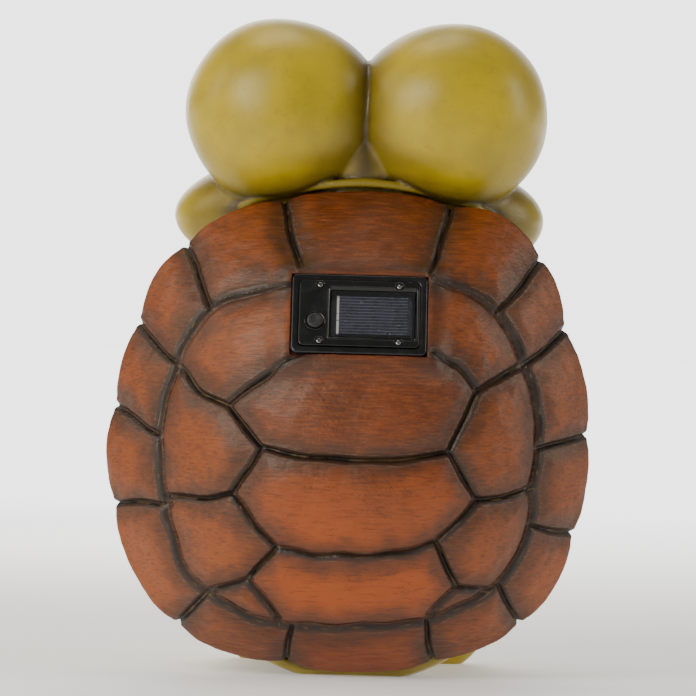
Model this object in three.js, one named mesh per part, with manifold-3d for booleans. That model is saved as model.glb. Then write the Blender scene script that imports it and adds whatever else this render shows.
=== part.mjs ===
// A solar turtle garden ornament: a hollow cast-resin turtle that sits upright, with a lamp
// module let into its back and a lit lens in each eye.
// Millimetres, +Z up. The turtle faces -Y, its shell is on the +Y side, and it stands on Z = 0.
import * as THREE from "three";
import { mergeVertices } from "three/addons/utils/BufferGeometryUtils.js";
import Module from "manifold-3d";

const wasm = await Module();
wasm.setup();

// ---------------------------------------------------------------- driving dimensions
const GAP = 0.3; // between two pieces that touch
const WALL = 5; // wall of every hollow casting

// carapace
const SHELL_CENTRE = new THREE.Vector2(3, 118); // X and Z of the middle of its outline
const SHELL_Y = 8; // plane of the rim's underside
const SHELL_RISE = 70; // from the rim's edge up to the crown
const RIM_LIFT = 7; // height of the rim's edge band
const DOME_POWER = 2.3; // the crown is 1 - rho ^ power
const GROOVE_WIDTH = 5;
const GROOVE_DEPTH = 3.2;

// body
const BODY_CENTRE = new THREE.Vector3(0, -5, 95);
const BODY_RADII = new THREE.Vector3(98, 68, 100); // below its middle
const NECK_REACH = 30; // how far the body's top reaches up into the head
const NECK_HOLE = { y: -15, low: 180, radius: 22 }; // upright, through the body's top
const DOORWAY = { width: 164, height: 190, z: 109 }; // elliptic way from the body into the carapace

// head
const EYE_SPACING = 93; // between the middles of the two eye balls
const EYE_HEIGHT = 292;
const EYE_Y = -8;
const BALL_RADII = new THREE.Vector3(48, 46, 48.5);
const GAZE = new THREE.Vector3(0.12, -1, 0.12).normalize(); // left eye; the right one is its mirror
const SOCKET_RADIUS = 34;
const SOCKET_START = 5; // the socket's bore begins this far from the ball's centre
const LID = { clearance: 2, radius: 3.5 };
const BRIDGE_RADII = new THREE.Vector3(26, 34, 38); // fills the valley between the balls
const NAPE_RADII = { x: 78, y: 34 };
const COLLAR_RADIUS = 3;
const MOUTH = { radius: 1.6, halfAngle: 1.05, drop: 12 };
const NOSTRIL = { x: 13, up: 8, radii: new THREE.Vector3(3.2, 6, 2.4) };
const CHEEK_DROP = 54; // from the eyes' middles down to the cheeks' middle
const CHEEK_CENTRE = new THREE.Vector3(2, -38, EYE_HEIGHT - CHEEK_DROP);
const CHEEK_RADII = new THREE.Vector3(97, 56, 38);
const BODY_TOP = CHEEK_CENTRE.z - CHEEK_RADII.z + NECK_REACH - BODY_CENTRE.z; // above its middle

// limbs of the left side, from the body outwards, and their thickness along the way
const ARM_PATH = [[70, -30, 176], [87, -46, 158], [86, -68, 130], [62, -86, 112]];
const ARM_RADII = [18, 20, 17, 13];
const SHOULDER = { centre: [72, -31, 177], radii: [20, 20, 20] };
const HAND = { centre: [55, -86, 108], radii: [18, 13, 15] };
const FINGER = { middle: [43, -89, 106], pitch: 9, radii: [8, 6.5, 5] };
const LEG_PATH = [[36, -30, 40], [46, -56, 38], [50, -78, 34], [50, -96, 33]];
const LEG_RADII = [32, 29, 25, 22];
const FOOT = { centre: [50, -102, 31], radii: [25, 15, 34] };
const TOE = { middle: [50, -107, 57], pitch: 15, radii: [8.5, 9, 8.5] };

// eyes
const LENS_RADIUS = 37;
const LENS_WALL = 2;
const LENS_SKIRT = 6;
const FIT = 0.4; // radial clearance of a glued-in piece
const PUPIL_HALF_ANGLE = 0.36;
const HOLDER_THICKNESS = 2;
const LED_RADIUS = 2.5;
const LED_LENGTH = 8;
const LEG_HOLE = 1.6; // in the holder, for an LED's legs

// lamp module, in its own frame: x right and y up on its face, z out of the shell
const MODULE_WIDTH = 69;
const MODULE_HEIGHT = 45;
const MODULE_X = 1;
const MODULE_Z = 189;
const MODULE_SINK = 0.5; // its face lies this far below the crown line of the shell
const MODULE_TILT = THREE.MathUtils.degToRad(28);
const SEAT = { border: 6, corner: 7, bevel: 3, top: -1 }; // thickened shell round the module
const FLANGE = 2.5;
const FLANGE_LIP = 3; // how far the flange reaches over the edge of its hole
const TUB_DEPTH = 27;
const TUB_WALL = 1.8;
const PLATE = 2.4; // thickness of the face plate
const PLATE_PROUD = 0.7; // how far it stands out of the flange
const PLATE_INSET = 3.8; // from the flange's edge to the face plate's edge
const CORNER = 3;
const WINDOW = { x: 7, y: 0, width: 43, height: 27 };
const CELL = { width: 38.5, height: 21.5, thick: 1.2 };
const SCREW_X = 20.2;
const SCREW_EDGE = 2.7; // from a screw's middle to the face plate's edge
const SCREW_HEAD_RADIUS = 1.6;
const SCREW_SHANK_RADIUS = 0.9;
const BUTTON = { x: -22.5, y: -5, radius: 4.15, proud: 1.6, travel: 1.5, clearance: 0.35 };
const STEM_RADIUS = 1.6;
const SWITCH = { size: 5, bore: 1.9, floor: 0.6 };
const SPRING = { radius: 4.3, wire: 0.25, turns: 2.5, play: 0.05 };
const BOARD = { width: 54, height: 24, thick: 1.6, top: -7.6 };
const CELL_RADIUS = 7.25; // AA rechargeable cell
const CELL_LENGTH = 49.2;
const NUB_LENGTH = 1.3;
const LEAD_RADIUS = 0.8;

// ---------------------------------------------------------------- geometry helpers
const V = (x, y, z) => new THREE.Vector3(x, y, z);

function solid(geometry) {
  const bare = geometry.clone();
  bare.deleteAttribute("normal");
  bare.deleteAttribute("uv");
  const merged = mergeVertices(bare, 1e-4);
  return new wasm.Manifold(
    new wasm.Mesh({
      numProp: 3,
      vertProperties: new Float32Array(merged.attributes.position.array),
      triVerts: new Uint32Array(merged.index.array),
    }),
  );
}

function geometryOf(body) {
  const mesh = body.getMesh();
  const geometry = new THREE.BufferGeometry();
  geometry.setAttribute("position", new THREE.BufferAttribute(mesh.vertProperties, 3));
  geometry.setIndex(new THREE.BufferAttribute(mesh.triVerts, 1));
  const flat = geometry.toNonIndexed();
  flat.computeVertexNormals();
  return flat;
}

const join = (...bodies) => wasm.Manifold.union(bodies);
const cut = (body, ...tools) => body.subtract(wasm.Manifold.union(tools));

// Rings of points, joined one to the next and closed by a fan at each end.
function loft(rings) {
  const sides = rings[0].length;
  const middle = (ring) => ring.reduce((sum, p) => sum.add(p), V(0, 0, 0)).divideScalar(sides);
  const points = [...rings.flat(), middle(rings[0]), middle(rings.at(-1))];
  const first = rings.length * sides;
  const faces = [];
  for (let side = 0; side < sides; side++) {
    const next = (side + 1) % sides;
    for (let ring = 0; ring + 1 < rings.length; ring++) {
      const low = ring * sides;
      const high = low + sides;
      faces.push(low + side, low + next, high + next, low + side, high + next, high + side);
    }
    const last = (rings.length - 1) * sides;
    faces.push(first, next, side, first + 1, last + side, last + next);
  }
  const geometry = new THREE.BufferGeometry().setFromPoints(points);
  geometry.setIndex(faces);
  return geometry;
}

function ellipsoid(centre, radii, across = 24, down = 16) {
  const geometry = new THREE.SphereGeometry(1, across, down);
  geometry.rotateX(Math.PI / 2);
  geometry.scale(radii.x, radii.y, radii.z);
  geometry.translate(centre.x, centre.y, centre.z);
  return solid(geometry);
}

// An ellipsoid whose upper half is stretched to its own height.
function egg(centre, radii, top, across, down) {
  const geometry = new THREE.SphereGeometry(1, across, down);
  geometry.rotateX(Math.PI / 2);
  const place = geometry.attributes.position;
  for (let i = 0; i < place.count; i++) {
    const up = place.getZ(i);
    place.setXYZ(i, place.getX(i) * radii.x, place.getY(i) * radii.y, up * (up > 0 ? top : radii.z));
  }
  geometry.translate(centre.x, centre.y, centre.z);
  return solid(geometry);
}

function box(low, high) {
  const geometry = new THREE.BoxGeometry(high.x - low.x, high.y - low.y, high.z - low.z);
  geometry.translate((low.x + high.x) / 2, (low.y + high.y) / 2, (low.z + high.z) / 2);
  return solid(geometry);
}

// A cylinder between two points.
function rod(start, end, radius, sides = 24) {
  const along = end.clone().sub(start);
  const geometry = new THREE.CylinderGeometry(radius, radius, along.length(), sides);
  const turn = new THREE.Quaternion().setFromUnitVectors(V(0, 1, 0), along.clone().normalize());
  geometry.applyQuaternion(turn);
  geometry.translate((start.x + end.x) / 2, (start.y + end.y) / 2, (start.z + end.z) / 2);
  return solid(geometry);
}

// A profile of [radius, height] pairs, turned about +Z.
function turned(profile, sides = 32) {
  const points = profile.map(([radius, height]) => new THREE.Vector2(radius, height));
  const geometry = new THREE.LatheGeometry(points, sides);
  geometry.rotateX(Math.PI / 2);
  return geometry;
}

function roundedRectangle(width, height, corner) {
  const [right, top] = [width / 2, height / 2];
  const shape = new THREE.Shape();
  shape.moveTo(-right + corner, -top);
  shape.lineTo(right - corner, -top);
  shape.absarc(right - corner, -top + corner, corner, -Math.PI / 2, 0);
  shape.absarc(right - corner, top - corner, corner, 0, Math.PI / 2);
  shape.absarc(-right + corner, top - corner, corner, Math.PI / 2, Math.PI);
  shape.absarc(-right + corner, -top + corner, corner, Math.PI, 1.5 * Math.PI);
  return shape;
}

// A rounded block from z = low to z = high about (x, y); bevel rounds both of its faces.
function block({ x = 0, y = 0, width, height, low, high, corner = 1, bevel = 0 }) {
  const shape = roundedRectangle(width - 2 * bevel, height - 2 * bevel, Math.max(corner - bevel, 0.1));
  const geometry = new THREE.ExtrudeGeometry(shape, {
    depth: high - low - 2 * bevel,
    curveSegments: 3,
    bevelEnabled: bevel > 0,
    bevelThickness: bevel,
    bevelSize: bevel,
    bevelSegments: 1,
  });
  geometry.translate(x, y, low + bevel);
  return solid(geometry);
}

// A round tube along a curve.
function tube(curve, radius, steps, sides) {
  const shape = new THREE.Shape();
  shape.absarc(0, 0, radius, 0, 2 * Math.PI);
  const options = { extrudePath: curve, steps, curveSegments: sides, bevelEnabled: false };
  return solid(new THREE.ExtrudeGeometry(shape, options));
}

// ---------------------------------------------------------------- materials
const plain = (color, roughness, metalness) =>
  new THREE.MeshStandardMaterial({ color, roughness, metalness });
const paint = (color, roughness = 0.45) => plain(color, roughness, 0);
const clear = (color, roughness, opacity) =>
  new THREE.MeshStandardMaterial({ color, roughness, transparent: true, opacity });
const finish = {
  shell: paint(0xb0592c),
  skin: paint(0xaca440),
  belly: paint(0xcdb765),
  lens: clear(0xf3f1e6, 0.2, 0.8),
  pupil: paint(0x121212, 0.2),
  black: paint(0x141516, 0.4),
  cell: paint(0x2b3040, 0.25),
  clear: clear(0xe8eef2, 0.08, 0.3),
  rubber: paint(0x1d1d1e, 0.8),
  nickel: plain(0xc9c9c6, 0.35, 1),
  board: paint(0x2f6b3a, 0.5),
  battery: paint(0x3f7d4c, 0.4),
  wire: paint(0xa02a22, 0.5),
  white: paint(0xe9e7df, 0.5),
};

const turtle = new THREE.Group();
function place(parent, name, body, material) {
  const mesh = new THREE.Mesh(geometryOf(body), material);
  mesh.name = name;
  parent.add(mesh);
}

// ---------------------------------------------------------------- carapace
// The outline, as X and Z, counter-clockwise seen along -Y from its right-hand side.
const OUTLINE = [
  [-121, 116], [-118, 152], [-108, 186], [-96, 218], [-72, 241], [-36, 249], [2, 252], [42, 248],
  [76, 236], [104, 211], [117, 182], [127, 146], [130, 108], [120, 62], [97, 28], [66, 11],
  [28, 4], [-8, 2], [-46, 8], [-82, 24], [-104, 48], [-116, 80],
];
const outlineCurve = new THREE.CatmullRomCurve3(
  OUTLINE.map(([x, z]) => V(x, 0, z)), true, "centripetal",
);
const outlinePoints = outlineCurve.getPoints(360);

// How far the outline lies from the shell's centre, in the direction of an angle.
function outlineRadius(angle) {
  const aim = new THREE.Vector2(Math.cos(angle), Math.sin(angle));
  let best = 0;
  for (let i = 0; i < outlinePoints.length - 1; i++) {
    const [p, q] = [outlinePoints[i], outlinePoints[i + 1]];
    const from = new THREE.Vector2(p.x, p.z).sub(SHELL_CENTRE);
    const edge = new THREE.Vector2(q.x - p.x, q.z - p.z);
    const bend = aim.cross(edge);
    if (Math.abs(bend) < 1e-9) continue;
    const along = from.cross(edge) / bend;
    const share = from.cross(aim) / bend;
    if (along > 0 && share >= -1e-6 && share <= 1 + 1e-6) best = Math.max(best, along);
  }
  return best;
}

// Height of the outer surface over the rim plane, at a share rho of the outline's radius.
const domeHeight = (rho) => RIM_LIFT + SHELL_RISE * (1 - rho ** DOME_POWER);

function surfaceY(x, z) {
  const flat = new THREE.Vector2(x, z).sub(SHELL_CENTRE);
  const rho = Math.min(flat.length() / outlineRadius(flat.angle()), 1);
  return SHELL_Y + domeHeight(rho);
}

// The dome as a closed solid, grown or shrunk by a margin, on a base plane.
function dome(margin, base, sides = 36) {
  const ring = (rho, y, extra) =>
    Array.from({ length: sides }, (_, i) => {
      const angle = (-2 * Math.PI * i) / sides;
      const radius = outlineRadius(angle) * rho + extra;
      return V(SHELL_CENTRE.x + radius * Math.cos(angle), y, SHELL_CENTRE.y + radius * Math.sin(angle));
    });
  const rings = [ring(0.99, base, margin)];
  for (const rho of [1, 0.88, 0.75, 0.55, 0.3, 0.1]) {
    const edge = margin * rho;
    rings.push(ring(rho, SHELL_Y + domeHeight(rho) + margin, edge));
  }
  return solid(loft(rings));
}

// Grooves between the scutes, as X and Z, from corner to corner.
const CORNERS = {
  gateLeft: [33, 203], gateRight: [-38, 207],
  tub1: [27, 170], tub2: [-37, 170],
  waistLeft: [67, 141], waistRight: [-61, 151],
  upLeft: [50, 119], upRight: [-47, 120],
  midLeft: [64, 95], midRight: [-63, 95],
  lowLeft: [41, 68], lowRight: [-42, 73],
  hipLeft: [55, 50], hipRight: [-53, 49],
};
const RING_LEFT = [
  CORNERS.gateLeft, [59, 198], [79, 188], [89, 176], [95, 160], [100, 142], [103, 122], [101, 100],
  [98, 84], [92, 64], [84, 50], [73, 41], [58, 33], [42, 28], [22, 26], [-2, 27],
];
const RING_RIGHT = [
  [-2, 27], [-26, 29], [-44, 33], [-60, 41], [-77, 53], [-88, 72], [-92, 100], [-94, 130],
  [-90, 152], [-84, 168], [-76, 184], [-66, 196], [-54, 203], CORNERS.gateRight,
];
const MARGINALS = [
  [[32, 212], [44, 252]], [[78, 191], [95, 230]], [[95, 161], [122, 186]], [[103, 123], [130, 142]],
  [[97, 88], [133, 87]], [[75, 43], [96, 20]], [[32, 24], [36, -2]],
  [[-35, 211], [-49, 255]], [[-71, 193], [-98, 224]], [[-86, 166], [-112, 188]], [[-94, 122], [-127, 131]],
  [[-91, 81], [-124, 76]], [[-77, 49], [-89, 24]], [[-38, 29], [-43, 4]],
];
const SEAMS = [
  ...MARGINALS,
  RING_LEFT, RING_RIGHT,
  [CORNERS.tub1, [46, 158], CORNERS.waistLeft, CORNERS.upLeft, CORNERS.midLeft, CORNERS.lowLeft],
  [CORNERS.tub2, [-52, 163], CORNERS.waistRight, CORNERS.upRight, CORNERS.midRight, CORNERS.lowRight],
  [CORNERS.waistLeft, [84, 148], [95, 161]],
  [CORNERS.waistRight, [-73, 158], [-86, 166]],
  [CORNERS.upLeft, [26, 116], [0, 115], [-24, 116], CORNERS.upRight],
  [CORNERS.midLeft, [82, 92], [99, 93]],
  [CORNERS.midRight, [-78, 97], [-92, 102]],
  [CORNERS.lowLeft, [18, 65], [-16, 66], CORNERS.lowRight],
  [CORNERS.lowLeft, CORNERS.hipLeft, [42, 37], [38, 28]],
  [CORNERS.lowRight, CORNERS.hipRight, [-44, 40], [-38, 32]],
  [CORNERS.hipLeft, [74, 44]],
  [CORNERS.hipRight, [-69, 48]],
];
const SEAM_STEP = 40; // longest straight stretch of a groove

// A V-shaped cutter that follows a seam over the shell.
function seamCutter(seam) {
  const stops = [];
  for (let i = 0; i + 1 < seam.length; i++) {
    const [p, q] = [seam[i], seam[i + 1]].map(([x, z]) => new THREE.Vector2(x, z));
    const pieces = Math.ceil(p.distanceTo(q) / SEAM_STEP);
    for (let k = 0; k < pieces; k++) stops.push(p.clone().lerp(q, k / pieces));
  }
  stops.push(new THREE.Vector2(...seam.at(-1)));
  const sections = stops.map((stop, i) => {
    const before = stops[Math.max(i - 1, 0)];
    const after = stops[Math.min(i + 1, stops.length - 1)];
    const along = after.clone().sub(before).normalize();
    const reach = i === 0 ? -1 : Number(i === stops.length - 1);
    const middle = V(stop.x + reach * along.x, surfaceY(stop.x, stop.y), stop.y + reach * along.y);
    const top = middle.clone().add(V(0, GROOVE_DEPTH / 2, 0));
    const across = V(-along.y, 0, along.x).multiplyScalar(0.75 * GROOVE_WIDTH);
    return [top.clone().add(across), middle.sub(V(0, GROOVE_DEPTH, 0)), top.sub(across)];
  });
  return solid(loft(sections));
}

// The module's frame on the shell.
const moduleOut = V(0, Math.cos(MODULE_TILT), Math.sin(MODULE_TILT));
const moduleUp = V(0, -Math.sin(MODULE_TILT), Math.cos(MODULE_TILT));
const moduleOrigin = V(MODULE_X, surfaceY(MODULE_X, MODULE_Z), MODULE_Z)
  .addScaledVector(moduleOut, -MODULE_SINK);
const moduleMatrix = new THREE.Matrix4()
  .makeBasis(V(-1, 0, 0), moduleUp, moduleOut)
  .setPosition(moduleOrigin);
const inModule = (x, y, z) => V(x, y, z).applyMatrix4(moduleMatrix);
const onShell = (body) => body.transform(moduleMatrix.elements);

const TUB = { width: MODULE_WIDTH - 2 * FLANGE_LIP, height: MODULE_HEIGHT - 2 * FLANGE_LIP };
const GASKET = 1;
const SEAT_Z = -FLANGE - GASKET - 2 * GAP; // the shell's seat under the gasket

function carapace() {
  const hull = cut(dome(0, SHELL_Y), dome(-WALL, SHELL_Y + WALL, 18));
  const doorway = ellipsoid(
    V(0, SHELL_Y, DOORWAY.z), V(DOORWAY.width / 2, 3 * WALL, DOORWAY.height / 2), 20, 6,
  );
  const seat = block({
    width: MODULE_WIDTH + 2 * SEAT.border, height: MODULE_HEIGHT + 2 * SEAT.border,
    low: SEAT_Z - WALL, high: SEAT.top, corner: SEAT.corner, bevel: SEAT.bevel,
  });
  const recess = block({
    width: MODULE_WIDTH + 2 * FIT, height: MODULE_HEIGHT + 2 * FIT, low: SEAT_Z, high: 12, corner: CORNER,
  });
  const hole = block({
    width: TUB.width + 2 * FIT, height: TUB.height + 2 * FIT, low: -TUB_DEPTH, high: 0, corner: CORNER,
  });
  const grooved = cut(hull, ...SEAMS.map(seamCutter), doorway);
  return cut(join(grooved, onShell(seat)), onShell(recess), onShell(hole));
}

// ---------------------------------------------------------------- body
const bodySolid = (margin, across = 24, down = 14) =>
  egg(BODY_CENTRE, BODY_RADII.clone().addScalar(margin), BODY_TOP + margin, across, down);
const FAR = 500; // past the whole ornament
const below = (z) => box(V(-FAR, -FAR, -FAR), V(FAR, FAR, z));
const behind = (y) => box(V(-FAR, y, -FAR), V(FAR, FAR, FAR));

function body() {
  const inside = cut(bodySolid(-WALL, 16, 10), below(WALL));
  const neckHole = rod(V(0, NECK_HOLE.y, NECK_HOLE.low), V(0, NECK_HOLE.y, FAR), NECK_HOLE.radius, 20);
  return cut(bodySolid(0), below(0), behind(SHELL_Y - GAP), inside, neckHole);
}

// ---------------------------------------------------------------- head
const eyeCentre = (side) => V((side * EYE_SPACING) / 2, EYE_Y, EYE_HEIGHT);
const gaze = (side) => V(side * GAZE.x, GAZE.y, GAZE.z);
const alongGaze = (side, distance) => eyeCentre(side).addScaledVector(gaze(side), distance);
const SIDES = [1, -1];
const sideName = (side) => (side > 0 ? "left" : "right");

// Where the socket's bore leaves the ball, measured from the ball's centre.
const SOCKET_MOUTH = Math.sqrt(BALL_RADII.y ** 2 - SOCKET_RADIUS ** 2);

// The collar bead, a raised lip where the head leaves the shell.
const SHELL_TOP = Math.max(...OUTLINE.map(([, z]) => z));
const collar = new THREE.CatmullRomCurve3(
  [[74, -13], [52, -5], [26, 1], [0, 4], [-26, 1], [-52, -5], [-72, -12]].map(([x, up]) =>
    V(x, SHELL_Y + 7 - (x / 20) ** 2, SHELL_TOP + up)),
);
// The mouth, a shallow groove round the cheeks that rises towards its corners.
const mouthPoint = (angle) => {
  const up = (-MOUTH.drop * Math.cos(angle) ** 2) / CHEEK_RADII.z;
  const level = Math.sqrt(1 - up * up);
  return V(
    CHEEK_CENTRE.x + CHEEK_RADII.x * level * Math.sin(angle),
    CHEEK_CENTRE.y - CHEEK_RADII.y * level * Math.cos(angle),
    CHEEK_CENTRE.z + CHEEK_RADII.z * up,
  );
};
const mouth = new THREE.CatmullRomCurve3(
  [-1, -0.75, -0.5, -0.25, 0, 0.25, 0.5, 0.75, 1].map((share) => mouthPoint(share * MOUTH.halfAngle)),
);

function head() {
  const balls = SIDES.map((side) => ellipsoid(eyeCentre(side), BALL_RADII, 20, 12));
  const lids = SIDES.map((side) => {
    const lid = new THREE.TorusGeometry(SOCKET_RADIUS + LID.clearance, LID.radius, 5, 16);
    lid.applyQuaternion(new THREE.Quaternion().setFromUnitVectors(V(0, 0, 1), gaze(side)));
    const at = alongGaze(side, SOCKET_MOUTH - 1);
    lid.translate(at.x, at.y, at.z);
    return solid(lid);
  });
  const bridge = ellipsoid(V(0, EYE_Y - 2, EYE_HEIGHT - 12), BRIDGE_RADII, 10, 8);
  const [napeLow, napeHigh] = [SHELL_TOP - 42, EYE_HEIGHT - 22];
  const napeRadii = V(NAPE_RADII.x, NAPE_RADII.y, (napeHigh - napeLow) / 2);
  const nape = ellipsoid(V(0, EYE_Y - 2, (napeLow + napeHigh) / 2), napeRadii, 14, 6);
  const cheeks = ellipsoid(CHEEK_CENTRE, CHEEK_RADII, 18, 8);
  const bead = tube(collar, COLLAR_RADIUS, 12, 6);
  const skin = join(...balls, ...lids, bridge, nape, cheeks, bead);

  const inner = [
    ...SIDES.map((side) => ellipsoid(eyeCentre(side), BALL_RADII.clone().subScalar(WALL), 12, 8)),
    ellipsoid(V(0, EYE_Y - 6, EYE_HEIGHT - 20), BRIDGE_RADII.clone().sub(V(2, 10, 4)), 8, 6),
    ellipsoid(CHEEK_CENTRE, CHEEK_RADII.clone().subScalar(WALL), 12, 6),
  ];
  const sockets = SIDES.map((side) =>
    rod(alongGaze(side, SOCKET_START), alongGaze(side, 2 * BALL_RADII.y), SOCKET_RADIUS, 28));
  const nostrils = SIDES.map((side) => {
    const at = V(side * NOSTRIL.x, CHEEK_CENTRE.y - CHEEK_RADII.y - 2, CHEEK_CENTRE.z + NOSTRIL.up);
    return ellipsoid(at, NOSTRIL.radii, 8, 4);
  });
  return cut(
    skin, ...inner, ...sockets, ...nostrils, tube(mouth, MOUTH.radius, 14, 4),
    bodySolid(GAP), dome(5 * GAP, SHELL_Y - GAP, 24),
  );
}

// ---------------------------------------------------------------- arms and legs
function limb(points, radii, sides = 11, rings = 4) {
  const curve = new THREE.CatmullRomCurve3(points);
  const thickness = new THREE.CatmullRomCurve3(radii.map((r, i) => V(i, r, 0)));
  const frames = curve.computeFrenetFrames(rings, false);
  const tips = [];
  for (let k = 0; k <= rings; k++) {
    const share = k / rings;
    const centre = curve.getPointAt(share);
    const radius = thickness.getPoint(share).y;
    tips.push(
      Array.from({ length: sides }, (_, i) => {
        const angle = (2 * Math.PI * i) / sides;
        return centre
          .clone()
          .addScaledVector(frames.normals[k], radius * Math.cos(angle))
          .addScaledVector(frames.binormals[k], radius * Math.sin(angle));
      }),
    );
  }
  return solid(loft(tips));
}

const onSide = (side, [x, y, z]) => V(side * x, y, z);

function arm(side) {
  const reach = limb(ARM_PATH.map((point) => onSide(side, point)), ARM_RADII);
  const shoulder = ellipsoid(onSide(side, SHOULDER.centre), V(...SHOULDER.radii), 10, 6);
  const hand = ellipsoid(onSide(side, HAND.centre), V(...HAND.radii), 10, 6);
  const fingers = [-1, 0, 1].map((k) => {
    const centre = onSide(side, FINGER.middle).add(V(0, Math.abs(k), k * FINGER.pitch));
    return ellipsoid(centre, V(...FINGER.radii), 6, 4);
  });
  return cut(join(shoulder, reach, hand, ...fingers), bodySolid(GAP), behind(SHELL_Y - GAP));
}

function leg(side) {
  const thigh = limb(LEG_PATH.map((point) => onSide(side, point)), LEG_RADII);
  const foot = ellipsoid(onSide(side, FOOT.centre), V(...FOOT.radii), 14, 8);
  const toes = [-1, 0, 1].map((k) => {
    const centre = onSide(side, TOE.middle).add(V(k * TOE.pitch, 0, -4 * Math.abs(k)));
    return ellipsoid(centre, V(...TOE.radii), 7, 5);
  });
  return cut(join(thigh, foot, ...toes), bodySolid(GAP), below(0), behind(SHELL_Y - GAP));
}

// ---------------------------------------------------------------- eyes
// Each eye piece is turned about its own +Z, which then points along the gaze.
function onGaze(side, distance, geometry) {
  geometry.applyQuaternion(new THREE.Quaternion().setFromUnitVectors(V(0, 0, 1), gaze(side)));
  const at = alongGaze(side, distance);
  geometry.translate(at.x, at.y, at.z);
  return solid(geometry);
}

function arcProfile(radius, centre, from, to, steps) {
  return Array.from({ length: steps + 1 }, (_, i) => {
    const angle = from + ((to - from) * i) / steps;
    return [Math.max(radius * Math.sin(angle), 0), centre + radius * Math.cos(angle)];
  });
}

const LENS_EDGE = SOCKET_RADIUS - FIT; // radius of the lens's skirt
const LENS_CENTRE = -Math.sqrt(LENS_RADIUS ** 2 - LENS_EDGE ** 2);
const LENS_ANGLE = Math.asin(LENS_EDGE / LENS_RADIUS);

// The lens: its skirt starts at z = -LENS_SKIRT, and its dome at z = 0.
function lens(side) {
  const inner = LENS_RADIUS - LENS_WALL;
  const profile = [
    [LENS_EDGE - LENS_WALL, -LENS_SKIRT],
    [LENS_EDGE, -LENS_SKIRT],
    ...arcProfile(LENS_RADIUS, LENS_CENTRE, LENS_ANGLE, 0, 6),
    ...arcProfile(inner, LENS_CENTRE, 0, Math.asin((LENS_EDGE - LENS_WALL) / inner), 4),
    [LENS_EDGE - LENS_WALL, -LENS_SKIRT],
  ];
  return onGaze(side, SOCKET_MOUTH, turned(profile, 20));
}

function pupil(side) {
  const [low, high] = [LENS_RADIUS + GAP, LENS_RADIUS + 1.3];
  const profile = [
    ...arcProfile(low, LENS_CENTRE, 0, PUPIL_HALF_ANGLE, 3),
    ...arcProfile(high, LENS_CENTRE, PUPIL_HALF_ANGLE, 0, 3),
  ];
  return onGaze(side, SOCKET_MOUTH, turned(profile, 18));
}

const HOLDER_TOP = -LENS_SKIRT - GAP;
const HOLDER_LOW = HOLDER_TOP - HOLDER_THICKNESS;
function holder(side) {
  const profile = [
    [LEG_HOLE, HOLDER_LOW], [LENS_EDGE, HOLDER_LOW], [LENS_EDGE, HOLDER_TOP], [LEG_HOLE, HOLDER_TOP],
    [LEG_HOLE, HOLDER_LOW],
  ];
  return onGaze(side, SOCKET_MOUTH, turned(profile, 20));
}

function led(side) {
  const base = HOLDER_TOP + GAP;
  const crown = base + LED_LENGTH - LED_RADIUS;
  const [legs, rim] = [LEG_HOLE - FIT, LED_RADIUS + 0.4];
  const profile = [
    [0, HOLDER_LOW], [legs, HOLDER_LOW], [legs, base], [rim, base], [rim, base + 1], [LED_RADIUS, base + 1],
    ...arcProfile(LED_RADIUS, crown, Math.PI / 2, 0, 3),
  ];
  return onGaze(side, SOCKET_MOUTH, turned(profile, 10));
}

// ---------------------------------------------------------------- lamp module
const PLATE_SIZE = { width: MODULE_WIDTH - 2 * PLATE_INSET, height: MODULE_HEIGHT - 2 * PLATE_INSET };
const PLATE_TOP = PLATE_PROUD;
const PLATE_LOW = PLATE_TOP - PLATE;
const BOSS_RADIUS = 2.9;
const FLOOR = -TUB_DEPTH + 2;
const SCREW_Y = PLATE_SIZE.height / 2 - SCREW_EDGE;
const SCREWS = [[-1, 1], [1, 1], [-1, -1], [1, -1]].map(([x, y]) => [x * SCREW_X, y * SCREW_Y]);
const GROMMET = { y: -11, hole: 4, bore: 2.7, flange: 5.2 };
const upright = (x, y, low, high, radius, sides) => rod(V(x, y, low), V(x, y, high), radius, sides);

function housing() {
  const flange = block({
    width: MODULE_WIDTH, height: MODULE_HEIGHT, low: -FLANGE, high: 0, corner: CORNER, bevel: 0.6,
  });
  const tub = block({ ...TUB, low: -TUB_DEPTH, high: -1, corner: CORNER });
  const hollow = block({
    width: TUB.width - 2 * TUB_WALL, height: TUB.height - 2 * TUB_WALL, low: FLOOR, high: 5, corner: 1.5,
  });
  const pocket = block({
    width: PLATE_SIZE.width + 2 * FIT, height: PLATE_SIZE.height + 2 * FIT, low: PLATE_LOW - GAP, high: 5,
    corner: CORNER,
  });
  const bosses = SCREWS.map(([x, y]) => upright(x, y, -12, PLATE_LOW - GAP, BOSS_RADIUS, 12));
  const pilots = SCREWS.map(([x, y]) => upright(x, y, -10, 1, SCREW_SHANK_RADIUS + GAP, 10));
  const leadHole = upright(0, GROMMET.y, -TUB_DEPTH - 5, FLOOR + 5, GROMMET.hole, 16);
  return cut(join(cut(join(flange, tub), hollow), ...bosses), pocket, ...pilots, leadHole);
}

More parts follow.
